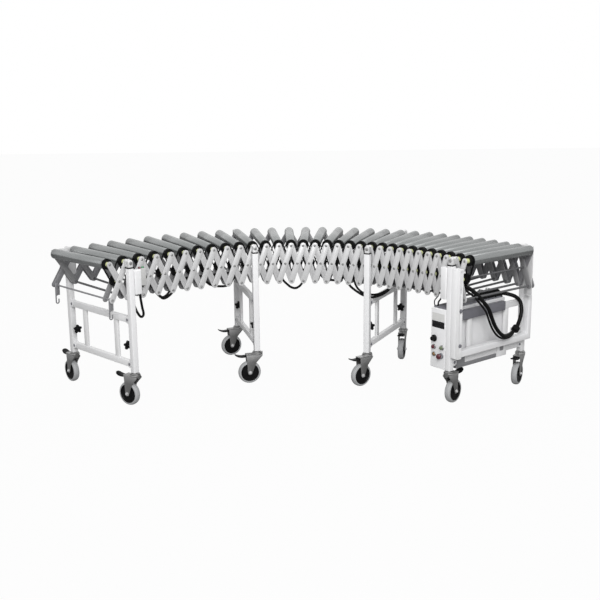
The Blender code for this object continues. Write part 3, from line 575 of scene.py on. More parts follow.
# Name, colour, roughness, metallic, colour spread, cloud scale and stretch, relief, relief scale,
# roughness spread, and what else the finish has
EVEN = (1, 1, 1)
ZINC = (0.05, 40, (1, 5, 1), 0.06, 300, 0.07)
LAMP = (0.1, 120, EVEN, 0.02, 900, 0.04)
OWN, DULL, GLAZED = {"own": True}, {"specular": 0.08}, {"coat": 0.4}
FINISH_ROWS = (
    ("roller_tube", (0.27, 0.28, 0.28), 0.28, 0.85, 0.08, 30, (9, 9, 0.7), 0.04, 260, 0.07, OWN),
    ("link_zinc", (0.49, 0.49, 0.495), 0.42, 0.3, *ZINC, {"own": True, "edge_tone": 0.8}),
    # Darker than the links' zinc: painted shade for the half links inside the bed.
    ("half_zinc", (0.27, 0.27, 0.275), 0.45, 0.3, 0.05, 60, EVEN, 0.05, 400, 0.08, {}),
    # Much darker than the links' zinc: painted shade for the rods and pins under the bed.
    ("rod_zinc", (0.13, 0.13, 0.135), 0.42, 0.45, 0.06, 50, EVEN, 0.05, 500, 0.06, {}),
    ("inner_zinc", (0.49, 0.49, 0.495), 0.45, 0.3, *ZINC, OWN),
    # The next two are darker zinc: painted shade for the rear lattice, seen from inside under the
    # rollers; the second also serves the hooks, the lower rail and a painted shadow sheet.
    ("shade_zinc", (0.27, 0.27, 0.275), 0.48, 0.3, 0.06, 40, (1, 5, 1), 0.06, 300, 0.07, OWN),
    ("dark_zinc", (0.24, 0.24, 0.25), 0.45, 0.4, 0.08, 50, (1, 4, 1), 0.06, 300, 0.07, OWN),
    ("white_paint", (0.74, 0.74, 0.75), 0.38, 0.0, 0.012, 25, EVEN, 0.05, 900, 0.05,
     {"coat": 0.08, "edge_tone": 0.7}),
    ("grey_paint", (0.47, 0.47, 0.465), 0.42, 0.0, 0.02, 25, EVEN, 0.05, 900, 0.05, {}),
    ("slate_paint", (0.16, 0.16, 0.18), 0.4, 0.1, 0.05, 30, EVEN, 0.05, 900, 0.06, {}),
    ("fork_zinc", (0.145, 0.145, 0.143), 0.36, 0.6, 0.08, 45, EVEN, 0.07, 500, 0.08,
     {"own": True, "edge_tone": 0.45}),
    ("bolt_zinc", (0.3, 0.3, 0.3), 0.35, 0.7, 0.1, 200, EVEN, 0.08, 900, 0.08, {}),
    ("black_plastic", (0.006, 0.006, 0.0065), 0.42, 0.0, 0.15, 80, EVEN, 0.08, 1200, 0.06, DULL),
    ("belt_rubber", (0.005, 0.005, 0.0055), 0.5, 0.0, 0.15, 80, EVEN, 0.1, 900, 0.06, DULL),
    ("cable_rubber", (0.005, 0.005, 0.005), 0.35, 0.0, 0.15, 80, EVEN, 0.06, 900, 0.06, DULL),
    ("tyre_grey", (0.33, 0.335, 0.34), 0.62, 0.0, 0.05, 50, EVEN, 0.12, 700, 0.06, OWN),
    ("bush_green", (0.58, 0.62, 0.32), 0.45, 0.0, 0.05, 90, EVEN, 0.05, 900, 0.05, {}),
    ("lamp_red", (0.075, 0.002, 0.01), 0.28, 0.0, *LAMP, GLAZED),
    ("lamp_green", (0.02, 0.16, 0.06), 0.25, 0.0, *LAMP, GLAZED),
    ("button_green", (0.11, 0.14, 0.075), 0.3, 0.0, *LAMP, GLAZED),
    ("lamp_amber", (0.18, 0.095, 0.025), 0.28, 0.0, *LAMP, GLAZED),
    ("label_grey", (0.58, 0.58, 0.57), 0.5, 0.0, 0.03, 60, EVEN, 0.03, 900, 0.05, {}),
    ("display_black", (0.006, 0.006, 0.007), 0.15, 0.0, 0.1, 60, EVEN, 0.01, 900, 0.04,
     {"coat": 0.5, "specular": 0.08}),
)


# Rollers, belts and links

def roller_master():
    """Tube with rolled-in ends and a bearing cup at the far one."""
    lip, rim = TUBE_RADIUS - 0.0012, TUBE_RADIUS - 0.0026
    return spun("roller_tube", [
        (BORE, 0.0335), (0.0225, 0.0325), (lip, 0.0305), (TUBE_RADIUS, 0.0325),
        (TUBE_RADIUS, 0.448), (lip, 0.4498), (rim, 0.4498), (TUBE_RADIUS - 0.0032, 0.447),
        (0.012, 0.4462), (0.0105, 0.4485), (BORE, 0.4485),
    ], 40, 35)


def pulley_master(start, end):
    """Black pulley with two belt grooves, set in from the bush at the drive end."""
    r, groove = 0.0254, 0.0222
    profile = [(BORE, start), (0.015, start), (0.0162, start + 0.0012), (0.0225, start + 0.0014),
               (r, start + 0.0004)]
    for middle in (start + 0.0058, start + 0.015):
        profile += [(r, middle - 0.0042), (groove, middle - 0.0036)]
        profile += [(groove, middle + 0.0036), (r, middle + 0.0042)]
    profile += [(r, end - 0.0005), (r - 0.0008, end), (BORE, end)]
    return spun("pulley", profile, 36, 30)


def dress_rollers():
    """Tube and pulley of each roller, every one turned on so that no two show the same grain."""
    tube_master, pulley = roller_master(), pulley_master(0.015, 0.0355)
    for index, station in enumerate(PLACES):
        number = f"{index + 1:02d}"
        body = f"roller_{number}"
        frame = aim(station.place(0, ROLLER_START, AXLE_HEIGHT), station.across)
        turns = [frame @ Matrix.Rotation(index * 1.3, 4, "Z")]
        copies(f"tube_{number}", tube_master, turns, "roller_tube", body, body, keep=True)
        copies(f"pulley_{number}", pulley, turns, "black_plastic", body, keep=True)
    drop(tube_master, pulley)


def link_master(length, width, thick):
    """Flat bar with round ends."""
    half, radius, quarter = length / 2, width / 2, math.pi / 2
    outline = arc((half, 0), radius, -quarter, quarter, 12)
    outline += arc((-half, 0), radius, quarter, 3 * quarter, 12)
    return soften(flat_plate("link", outline, thick), 0.0007)


def rivet_master(radius, tall):
    """Domed pivot head with a shallow dimple, standing on its washer."""
    return spun("rivet", [
        (radius + 0.0014, 0.0), (radius + 0.0014, 0.0008), (radius, 0.001),
        (radius * 0.96, tall * 0.7), (radius * 0.72, tall), (radius * 0.42, tall),
        (radius * 0.3, tall * 0.55), (0.0, tall * 0.5),
    ], 20, 30)


def nut_master():
    """Hexagon nut with a bolt end standing out of it."""
    nut = flat_plate("nut", arc((0, 0), 0.0078, 0, TAU, 6)[:6], 0.005)
    nut.data.transform(move(0, 0, 0.0035))
    soften(nut, 0.0006)
    washer = spun("washer", [(0.0, 0.0), (0.0095, 0.0), (0.0095, 0.001), (0.0, 0.001)], 20)
    end = spun("end", [(0.0, 0.006), (0.0036, 0.006), (0.0036, 0.0078), (0.003, 0.0085),
                       (0.0, 0.0085)], 16)
    return joined("nut", [nut, washer, end])


def dress_lattice(side, lattice):
    """Links in two layers, and heads at all their pivots."""
    link = link_master(LINK_PITCH, LINK_WIDTH, LINK_THICK)
    # The rear side's links take darker finishes: painted shade for the rear lattice under the
    # rollers.
    outer, inner = ("link_zinc", "inner_zinc") if side == "front" else ("dark_zinc", "shade_zinc")
    copies(f"{side}_outer_links", link, lattice.link_frames(True), outer, "bed",
           f"{side}_lattice", keep=True)
    copies(f"{side}_inner_links", link, lattice.link_frames(False), inner, "bed")
    face = LATTICE_DEEP / 2
    under = face - LINK_THICK - LAYER_GAP
    heads = []
    for i in range(ROLLERS):
        away = (lattice.out(max(i - 1, 0)) + lattice.out(i)).normalized()
        if i not in STAND_STATIONS:
            heads.append(aim(lattice.top(i) + away * (face if i > 0 else under), away))
        heads.append(aim(lattice.bottom(i) + away * (face if i < ROLLERS - 1 else under), away))
    heads += [aim(lattice.crossing(i) + lattice.out(i) * face, lattice.out(i)) for i in CELLS]
    copies(f"{side}_pivot_heads", rivet_master(0.0052, 0.0024), heads, "bolt_zinc", "bed")


def flat_belt(low, high, side):
    """Flat belt round two pulleys whose axes run along side, drawn, inset and extruded."""
    radius, wide, thick = 0.0272, 0.007, 0.0045
    run = high - low
    points = arc((0, run.length), radius, 0, math.pi, 9) + arc((0, 0), radius, math.pi, TAU, 9)
    item = drawn("belt", [(x, y, -wide / 2) for x, y in points], closed=True)
    bpy.ops.mesh.inset(thickness=thick, depth=0)
    bpy.ops.mesh.delete(type="FACE")
    take_all()
    extrude((0, 0, wide))
    close_up(item)
    up = run.normalized()
    item.data.transform(Matrix.Translation(low) @ basis(side.cross(up).normalized() * -1, up,
                                                        up.cross(side).normalized().cross(up)))
    return smooth(item)


def dress_drive(lattice):
    """Idlers at the crossings, belts up to both rollers of each cell, bushes and half links."""
    clearance, grooves, half_depths = 0.0006, (0.0208, 0.03), (0.0475, 0.0515)
    frames, belts, bars, shafts = [], [], [], []
    for i in CELLS:
        here = (PLACES[i].across + PLACES[i + 1].across).normalized()
        away = lattice.out(i)
        inner = lattice.crossing(i) - away * LATTICE_DEEP / 2
        frames.append(aim(inner + here * clearance, here))
        for index, groove in zip((i, i + 1), grooves):
            wheel = PLACES[index].place(0, ROLLER_START + groove, AXLE_HEIGHT)
            belts.append(flat_belt(inner + here * (groove + clearance), wheel, here))
        for foot, deep in zip((i, i + 1)[:1 if i == CELLS[-1] else 2], half_depths):
            end = lattice.bottom(foot) - away * LATTICE_DEEP / 2 + here * deep
            bars.append(bar_frame(inner + here * deep, end, away))
        shafts.append((inner - here * 0.001, inner + here * 0.0555))
    copies("idler_wheels", pulley_master(0.014, 0.0415), frames, "black_plastic", "bed")
    put(mark_local(joined("drive_belts", belts)), "belt_rubber", "bed")
    half = link_master(LINK_PITCH / 2, 0.031, HALF_LINK_THICK)
    # The half links take a darker zinc: painted shade inside the bed.
    copies("half_links", half, bars, "half_zinc", "bed")
    shafts = [rod("shaft", *ends, 0.004, 12) for ends in shafts]
    put(smooth(joined("idler_shafts", shafts)), "bolt_zinc", "bed")
    bush = spun("bush", [(BORE, 0.0), (0.0108, 0.0), (0.0115, 0.0006), (0.0115, 0.0146),
                         (BORE, 0.0146)], 28)
    places = [aim(s.place(0, LATTICE_DEEP + 0.0002, AXLE_HEIGHT), s.across) for s in PLACES]
    copies("roller_bushes", bush, places + frames, "bush_green", "bed")
    spacer = spun("spacer", [(0.0045, 0.0), (0.008, 0.0), (0.008, 0.0052), (0.0045, 0.0052)], 24)
    places = [aim(s.place(0, LINK_THICK + 0.0002, height), s.across)
              for s, height in ((PLACES[-1], AXLE_HEIGHT), (PLACES[0], lattice.feet[0]))]
    copies("end_spacers", spacer, places, "bush_green", "bed")


def dress_rods(front, rear):
    """Axles inside the rollers' ends, rods across the bottom pivots and a shaft at the end."""
    made = []
    for index, station in enumerate(PLACES):
        start = station.place(0, LATTICE_DEEP / 2, AXLE_HEIGHT)
        end = station.place(0, REAR_START + LATTICE_DEEP / 2, AXLE_HEIGHT)
        made.append(rod("axle", start, end, 0.0055, 12))
        if index > 0:
            far = rear.bottom(index) + rear.out(index) * 0.0215
            made.append(rod("cross rod", front.bottom(index), far, 0.0056, 12))
    last = CELLS[-1]
    made.append(rod("end shaft", front.crossing(last), rear.crossing(last), 0.0045, 12))
    # The rods take a much darker zinc: painted shade under the bed.
    put(smooth(joined("cross_rods", made)), "rod_zinc", "bed")


def dress_rear_halves(rear):
    """Half links outside the rear lattice, from its crossings to its feet, with their pivots."""
    bars, pins = [], []
    for i in CELLS:
        away, middle = rear.out(i), rear.crossing(i)
        for foot, deep in ((i, 0.017), (i + 1, 0.021)):
            bars.append(bar_frame(middle + away * deep, rear.bottom(foot) + away * deep, away))
        pins.append(rod("pin", middle, middle + away * 0.0245, 0.0045, 12))
    half = link_master(LINK_PITCH / 2, LINK_WIDTH, HALF_LINK_THICK)
    # The rear half links take the darker zinc: painted shade.
    copies("rear_half_links", half, bars, "dark_zinc", "bed")
    # The pins take the rods' darker zinc: painted shade.
    put(mark_local(joined("rear_pins", pins)), "rod_zinc", "bed")


# Stands

def post(across):
    """Square tube, open at the top, with rounded corners."""
    half = POST_SIDE / 2
    item = block("post", (-half, across - half, POST_BOTTOM), (half, across + half, POST_TOP))
    round_edges(item, upright, 0.0035, 4)
    choose(item, lambda middle, normal: normal.z > 0.9)
    bpy.ops.mesh.inset(thickness=POST_WALL, depth=0)
    extrude((0, 0, -0.25))
    leave()
    return soften(item, 0.0005, 2, 50)


def star_knob(centre, facing):
    """Five-lobed clamp knob with a hub, its face along the given direction."""
    points = []
    for step in range(60):
        angle = TAU * step / 60
        wave = 0.5 + 0.5 * math.cos(5 * angle)
        radius = 0.015 + 0.0085 * wave**0.8
        points.append((radius * math.sin(angle), radius * math.cos(angle)))
    star = soften(flat_plate("star", points, 0.012), 0.0028, 3, 50)
    hub = spun("hub", [(0.0, -0.0165), (0.0085, -0.0165), (0.0105, -0.006), (0.0105, 0.0066),
                       (0.0085, 0.008), (0.0, 0.008)], 24)
    knob = joined("star knob", [star, hub])
    knob.data.transform(aim(centre, facing))
    return knob


def crossbar(height):
    """Bar from post to post, its ends just inside them."""
    end, tall, thick = POST_SIDE / 2, 0.032, 0.02
    bar = block("crossbar", (-thick / 2, end - 0.002, height - tall / 2),
                (thick / 2, POST_SPACING - end + 0.002, height + tall / 2))
    return soften(bar, 0.0022, 3)


def ear(across, inward, height):
    """Two round-nosed bracket plates on the inner side of a post, with the bar between them."""
    radius, reach, back = 0.0185, 0.02, 0.013
    outline = arc((inward * reach, 0), radius, -math.pi / 2, math.pi / 2, 14)
    outline = [(x if inward > 0 else 2 * inward * reach - x, y) for x, y in outline]
    outline += [(-inward * back, radius), (-inward * back, -radius)]
    if inward < 0:
        outline.reverse()
    plates = []
    for side in (-1, 1):
        item = soften(flat_plate("ear", outline, 0.0022), 0.0005)
        item.data.transform(move(side * 0.0121, across, height) @ TIP)
        plates.append(item)
    return plates


def post_collar(across):
    """Square ring on the top of a post, round its leg."""
    out, hole = 0.0158, 0.0127
    collar = block("cap", (-out, across - out, POST_TOP + 0.0002),
                   (out, across + out, POST_TOP + 0.0062))
    tool = block("hole", (-hole, across - hole, POST_TOP - 0.01),
                 (hole, across + hole, POST_TOP + 0.02))
    return soften(cut(collar, tool), 0.0012)


def dress_stand(number):
    """Posts, ladder frame, bolts, caps and clamp knobs of one stand."""
    body, frame = f"stand_{number + 1}", stand_frame(number)
    last = number == len(STAND_STATIONS) - 1
    posts = joined("posts", [post(across) for across, _ in POST_ENDS])
    single(f"{body}_posts", posts, frame, "white_paint", body, body)
    bars, bolts, ears = [], [], []
    for height in CROSSBAR_HEIGHTS:
        bars.append(crossbar(height))
        plated = not last or height == CROSSBAR_HEIGHTS[0]
        for across, inward in POST_ENDS:
            if plated:
                ears += ear(across, inward, height)
            for side in (-1, 1):
                face = side * (0.0133 if plated else 0.0102)
                where = Vector((face, across + inward * 0.024, height))
                bolts.append(frame @ aim(where, Vector((side, 0, 0))))
    for share in (0.25, 0.76):
        across = POST_SPACING * share
        item = block("upright", (-0.007, across - 0.014, 0.2285), (0.007, across + 0.014, 0.4215))
        bars.append(soften(item, 0.0018))
    single(f"{body}_ladder", joined("ladder", bars + ears), frame, "white_paint", body)
    copies(f"{body}_bolts", rivet_master(0.006, 0.003), bolts, "slate_paint", body)
    if not last:
        knobs = []
        for across, inward in POST_ENDS:
            centre = Vector((0, across + inward * 0.047, CLAMP_KNOB_HEIGHT))
            knobs.append(star_knob(centre, Vector((0, inward, 0))))
            stem = (0, across + inward * 0.014, CLAMP_KNOB_HEIGHT)
            knobs.append(rod("stem", stem, centre, 0.004, 12))
        single(f"{body}_knobs", joined("knobs", knobs), frame, "black_plastic", body)
    caps = joined("caps", [post_collar(across) for across, _ in POST_ENDS])
    single(f"{body}_caps", caps, frame, "black_plastic", body)


def dress_legs():
    """Leg bars inside the posts with their round-topped heads and bolts, all on the bed."""
    bars, bolts = [], []
    half = 0.0122
    for number in range(len(STAND_STATIONS)):
        frame = stand_frame(number)
        for (across, inward), offset in zip(POST_ENDS, (FRONT_POST_OFFSET, REAR_POST_OFFSET)):
            bar = block("leg", (-half, across - half, 0.33), (half, across + half, LEG_TOP))
            round_edges(bar, lambda m, w: abs(w.y) > 0.9 and m.z > 0.73, 0.0105, 6)
            soften(bar, 0.0012, 2, 50)
            low, high = sorted(across + inward * reach for reach in (half - 0.002, offset - 0.004))
            head = soften(block("head", (-half, low, 0.7015), (half, high, LEG_TOP)), 0.0012)
            for item in (bar, head):
                item.data.transform(frame)
                bars.append(item)
            where = frame @ Vector((0, across - inward * half, 0.7185))
            bolts.append(aim(where, frame.to_3x3() @ Vector((0, -inward, 0))))
    put(mark_local(joined("leg_bars", bars)), "link_zinc", "bed")
    copies("leg_bolts", rivet_master(0.0075, 0.0034), bolts, "bolt_zinc", "bed")


def gusset(number, corners):
    """Plate from the end rollers' axles to the rear leg, its corners along and below its top."""
    outline = [(along, GUSSET_TOP - drop_by) for along, drop_by in corners]
    item = soften(flat_plate("gusset", outline, 0.004), 0.0008)
    along = POST_SPACING * math.tan(STAND_YAWS[number])
    across = REAR_START + LATTICE_DEEP + 0.004
    item.data.transform(PLACES[STAND_STATIONS[number]].frame(along, across) @ RISE)
    return item


def dress_gussets():
    """Gusset plate at each end of the bed, and the first one's bolt."""
    first = ((-0.015, 0.183), (0.015, 0.183), (0.019, 0.0), (-0.12, 0.0), (-0.06, 0.117))
    last = ((0.045, 0.251), (0.09, 0.251), (0.09, 0.0), (-0.013, 0.0), (-0.013, 0.038),
            (0.03, 0.098))
    plates = [gusset(0, first), gusset(3, last)]
    put(mark_local(joined("end_gussets", plates)), "link_zinc", "bed")
    frame = PLACES[STAND_STATIONS[0]].frame(0, REAR_START + LATTICE_DEEP + 0.002)
    face = frame @ move(0, 0, GUSSET_TOP - 0.15) @ RISE
    copies("gusset_bolt", rivet_master(0.0062, 0.003), [face], "bolt_zinc", "bed")


# Casters

def mirrored(profile):
    """Profile of (radius, height) points, and the same again above nought height."""
    return profile + [(r, -z) for r, z in reversed(profile) if z]


def wheel_masters():
    """Grey tyre with a rounded tread, and a black dished hub."""
    tread = [(0.0478, -0.015), (0.0518, -0.0158), (0.0552, -0.0142), (0.0578, -0.0108),
             (0.0594, -0.006), (WHEEL_AXLE, 0.0)]
    dish = [(0.0054, -0.016), (0.0125, -0.016), (0.0145, -0.012), (0.018, -0.0105),
            (0.04, -0.0112), (0.043, -0.0148), (0.048, -0.015)]
    return spun("tyre", mirrored(tread), 56, 50), spun("hub", mirrored(dish), 48, 30)


def fork_master():
    """Pressed fork, swivel race and crown of a caster; the wheel trails along +X."""
    inside, plate = 0.0168, 0.0028
    items = []
    nose = arc((TRAIL, WHEEL_AXLE), 0.0125, -math.pi * 0.96, -math.pi * 0.04, 12)
    outline = [*nose, (0.057, 0.118), (0.06, FORK_TOP - 0.004), (-0.026, FORK_TOP - 0.004),
               (-0.024, 0.146), (0.008, 0.112)]
    for side in (-1, 1):
        cheek = soften(flat_plate("cheek", outline, plate), 0.0008)
        cheek.data.transform(move(0, side * (inside + plate / 2), 0) @ RISE)
        items.append(cheek)
    wide = inside + plate
    crown = block("crown", (-0.029, -wide, FORK_TOP - 0.0048), (0.061, wide, FORK_TOP))
    round_edges(crown, lambda m, w: upright(m, w) and m.x < 0, 0.016, 6)
    items.append(soften(crown, 0.0016, 3))
    race = [(0.0, -0.001), (0.0255, -0.001), (0.0268, 0.0012), (0.0262, 0.0052), (0.024, 0.0066),
            (0.0225, 0.0072), (0.0232, 0.0086), (0.0228, 0.0112), (0.019, 0.0126),
            (0.0165, 0.0134), (0.0, 0.0134)]
    items.append(spun("race", [(r, FORK_TOP + z) for r, z in race], 36, 35))
    return joined("fork", items)


def pedal_master():
    """Black foot pedal of the brake, a curved paddle behind the crown."""
    side = [(0.046, -0.015), (0.066, -0.0185), (0.098, -0.0185), (0.112, -0.016),
            (0.1185, -0.009), (0.12, 0.0)]
    outline = side + [(x, -y) for x, y in reversed(side[:-1])]
    paddle = flat_plate("paddle", outline, 0.006)
    edit(paddle)
    take_all()
    for place in (0.058, 0.07, 0.082, 0.094, 0.104, 0.112):
        bpy.ops.mesh.bisect(plane_co=(place, 0, 0), plane_no=(1, 0, 0))
        take_all()
    leave()
    for vertex in paddle.data.vertices:
        lift = (vertex.co.x - 0.046) / 0.074
        vertex.co.z += 0.15 - 0.012 * lift + 0.022 * lift**3
    return soften(paddle, 0.0016, 2, 50)


def dress_casters():
    """Fork, pedal, nuts, tyre and hub under each post, turned to its heading."""
    tyre, hub = wheel_masters()
    fork, pedal, nut = fork_master(), pedal_master(), nut_master()
    for side, (across, _) in zip(("front", "rear"), POST_ENDS):
        for number in range(len(STAND_STATIONS)):
            middle = stand_frame(number) @ Vector((0, across, 0))
            turn = Matrix.Rotation(math.radians(CASTER_ANGLES[side][number]), 4, "Z")
            frame = Matrix.Translation(middle) @ turn
            ends = [frame @ move(TRAIL, s * 0.0196, WHEEL_AXLE)
                    @ Matrix.Rotation(-s * math.pi / 2, 4, "X") for s in (-1, 1)]
            axle = frame @ move(TRAIL, 0, WHEEL_AXLE)
            axle = axle @ Matrix.Rotation(-math.pi / 2, 4, "X")
            fork_body = f"{side}_fork_{number + 1}"
            wheel = f"{side}_wheel_{number + 1}"
            for name, master, frames, finish, body, *nodes in (
                    (f"{fork_body}_steel", fork, [frame], "fork_zinc", fork_body, fork_body),
                    (f"{fork_body}_pedal", pedal, [frame], "black_plastic", fork_body),
                    (f"{fork_body}_nuts", nut, ends, "inner_zinc", fork_body),
                    (f"{wheel}_tyre", tyre, [axle], "tyre_grey", wheel, wheel),
                    (f"{wheel}_hub", hub, [axle], "black_plastic", wheel)):
                copies(name, master, frames, finish, body, *nodes, keep=True)
    drop(tyre, hub, fork, pedal, nut)


# End frame, boxes and cabinet

def dress_end_frame():
    """Flat-bar frame on the end side of the last stand, and the slotted bar on its near upright."""
    near, far = -POST_SIDE / 2, POST_SPACING + POST_SIDE / 2
    low, rail, near_top, far_top, wide = 0.244, 0.275, 0.686, 0.472, 0.026
    outline = [(near, near_top), (near, low), (far, low), (far, far_top), (far - wide, far_top),
               (far - wide, rail), (near + wide, rail), (near + wide, near_top)]
    item = soften(flat_plate("end frame", outline, 0.035), 0.0028, 3)
    item.data.transform(move(POST_SIDE / 2 + 0.0165, 0, 0) @ TIP)
    bar = block("slotted bar", (0.0485, near + 0.0007, 0.2447),
                (0.067, near + wide - 0.0007, 0.6853))
    middle = near + wide / 2
    for height, tall in ((0.575, 0.03), (0.478, 0.022), (0.312, 0.014)):
        points = arc((0, tall / 2 - 0.004), 0.004, 0, math.pi, 8)
        points += arc((0, 0.004 - tall / 2), 0.004, math.pi, TAU, 8)
        slot = flat_plate("slot", points, 0.03)
        slot.data.transform(move(0.062, middle, height) @ TIP)
        cut(bar, slot)
    soften(bar, 0.0008, 2, 50)
    cut(bar, rod("hole", (0.055, middle, 0.672), (0.075, middle, 0.672), 0.0052, 20))
    frame = stand_frame(3)
    single("end_frame", joined("end frame", [item, bar]), frame, "white_paint", "stand_4")
    bolts = [frame @ aim(Vector((0.0668, middle, height)), Vector((1, 0, 0)))
             for height in (0.484, 0.312)]
    copies("end_frame_bolts", nut_master(), bolts, "slate_paint", "stand_4")


def dress_cross_cover():
    """Dark channel over the last stand's upper crossbar, the rail and bracket under the lower, and
    a dark sheet of painted shadow on the lower crossbar.
    """
    frame = stand_frame(3)
    half, low, top, wall = 0.0128, 0.415, 0.461, 0.002
    outline = [(-half, low), (-half, top), (half, top), (half, low), (half - wall, low),
               (half - wall, top - wall), (wall - half, top - wall), (wall - half, low)]
    start, end = 0.0165, 0.392
    channel = flat_plate("channel", outline, end - start)
    channel.data.transform(move(0, (start + end) / 2, 0) @ RISE)
    single("crossbar_channel", soften(channel, 0.0006, 2, 50), frame, "slate_paint", "stand_4")
    rail = soften(block("rail", (-0.0085, 0.04, 0.1765), (0.0105, 0.336, 0.1968)), 0.0012)
    single("lower_rail", rail, frame, "dark_zinc", "stand_4")
    bracket = block("bracket", (-0.0095, 0.3365, 0.178), (0.0155, 0.408, 0.2435))
    soften(bracket, 0.002)
    cut(bracket, block("window", (0.0125, 0.356, 0.207), (0.02, 0.386, 0.236)))
    single("lower_bracket", bracket, frame, "white_paint", "stand_4")
    plate = soften(block("plate", (0.0118, 0.3565, 0.2075), (0.0136, 0.3855, 0.2355)), 0.0004, 1)
    # The second plate is a dark sheet of painted shadow in front of the lower crossbar, beside the
    # end frame.
    foot = soften(block("plate", (0.0092, 0.042, 0.189), (0.0145, 0.096, 0.237)), 0.0006, 1)
    single("bracket_plate_and_painted_shadow", joined("plates", [plate, foot]), frame, "dark_zinc", "stand_4")


def dress_boxes():
    """Junction boxes by the first and last front posts, and the grey lamp box."""
    start, wide = 0.0172, 0.04
    for name, number, side, bottom in (("first_box", 0, 1, 0.56), ("last_box", 3, -1, 0.527)):
        frame = stand_frame(number) @ move(0, FRONT_POST_OFFSET, 0)
        low, high = sorted((side * start, side * (start + wide)))
        item = box(name, (low, -0.0388, bottom), (high, -0.0048, 0.682), 0.006)
        single(name, item, frame, "white_paint", "bed")
    frame = stand_frame(0) @ move(0, FRONT_POST_OFFSET, 0)
    item = box("lamp_box", (0.0518, -0.0322, 0.6), (0.0878, -0.0062, 0.683), 0.002)
    single("lamp_box", item, frame, "grey_paint", "bed")
    lamp = spun("lamp", [(0.0, 0.009), (0.004, 0.0085), (0.0062, 0.0065), (0.0066, 0.0),
                         (0.0, 0.0)], 24, 50)
    for name, x, finish in (("red_lamp", 0.0585, "lamp_red"), ("green_lamp", 0.078, "lamp_green")):
        place = frame @ move(x, -0.019, 0.683)
        copies(name, lamp, [place], finish, "bed", keep=True)
    drop(lamp)


def panel_frame(across, up):
    """Frame on the cabinet's panel, at shares of its width and height, whose Z points out of it."""
    size = CAB_HIGH - CAB_LOW
    place = Vector((CAB_LOW.x + size.x * across, CAB_LOW.y, CAB_LOW.z + size.z * up))
    return Matrix.Translation(place) @ RISE


def dress_cabinet():
    """White cabinet with a dark lid, a panel with a label, a display and its controls."""
    frame = stand_frame(3)
    shell = box("cabinet", CAB_LOW, CAB_HIGH, 0.004)
    single("cabinet_shell", shell, frame, "white_paint", "stand_4", "control_cabinet")
    inset = Vector((0.008, 0.008, 0))
    lid = box("lid", Vector((CAB_LOW.x, CAB_LOW.y, CAB_HIGH.z + 0.0002)) + inset,
              Vector((CAB_HIGH.x, CAB_HIGH.y, LID_TOP)) - inset, 0.004)
    single("cabinet_lid", lid, frame, "slate_paint", "stand_4")
    for name, tall, proud, up, soft, finish in (
            ("panel_label", 0.019, 0.0008, 0.86, (0.0004, 1), "label_grey"),
            ("panel_display", 0.0165, 0.0016, 0.735, (0.0006, 2), "display_black")):
        plate = block(name, (-0.04, -tall, 0.0), (0.04, tall, proud))
        plate.data.transform(panel_frame(0.5, up))
        single(name, soften(plate, *soft), frame, finish, "stand_4")
    dial, stop, start, amber, emergency = (
        frame @ panel_frame(*place)
        for place in ((0.26, 0.495), (0.25, 0.352), (0.8, 0.365), (0.26, 0.225), (0.74, 0.222)))
    knob = spun("dial", [
        (0.0, 0.0225), (0.0085, 0.0222), (0.0098, 0.0208), (0.0104, 0.01), (0.015, 0.0072),
        (0.0168, 0.0058), (0.017, 0.0007), (0.0, 0.0007),
    ], 40, 35)
    pointer = soften(block("pointer", (-0.0016, 0.001, 0.0215), (0.0016, 0.0096, 0.0232)), 0.0004)
    single("speed_dial", joined("dial", [knob, pointer]), dial, "black_plastic", "speed_knob",
           "speed_knob")
    cap = [(0.0, 0.015), (0.0072, 0.0146), (0.0088, 0.013), (0.009, 0.0066), (0.0, 0.0066)]
    lamp = [(0.0, 0.008), (0.005, 0.0074), (0.0082, 0.005), (0.0088, 0.0002), (0.0, 0.0002)]
    for name, profile, place, finish, body, *nodes in (
            ("stop_cap", cap, stop, "lamp_red", "stop_button", "stop_button"),
            ("start_cap", cap, start, "button_green", "start_button", "start_button"),
            ("amber_lamp", lamp, amber, "lamp_amber", "stand_4")):
        single(name, spun(name, profile, 32, 50), place, finish, body, *nodes)
    ring = spun("ring", [(0.0094, 0.0), (0.0122, 0.0), (0.0122, 0.003), (0.0112, 0.0042),
                         (0.0094, 0.0042), (0.0094, 0.0)], 32, 30)
    copies("button_rings", ring, [stop, start, amber], "bolt_zinc", "stand_4")
    mushroom = spun("mushroom", [
        (0.0, 0.0268), (0.007, 0.0262), (0.0118, 0.024), (0.014, 0.0205), (0.0138, 0.018),
        (0.009, 0.0165), (0.007, 0.0066), (0.0, 0.0066),
    ], 40, 50)
    single("stop_mushroom", mushroom, emergency, "lamp_red", "emergency_stop", "emergency_stop")
    collar = spun("collar", [(0.0094, 0.0002), (0.015, 0.0002), (0.015, 0.0022),
                             (0.0115, 0.005), (0.0094, 0.005), (0.0094, 0.0002)], 36, 30)
    single("stop_collar", collar, emergency, "slate_paint", "stand_4")


# Hooks and cables

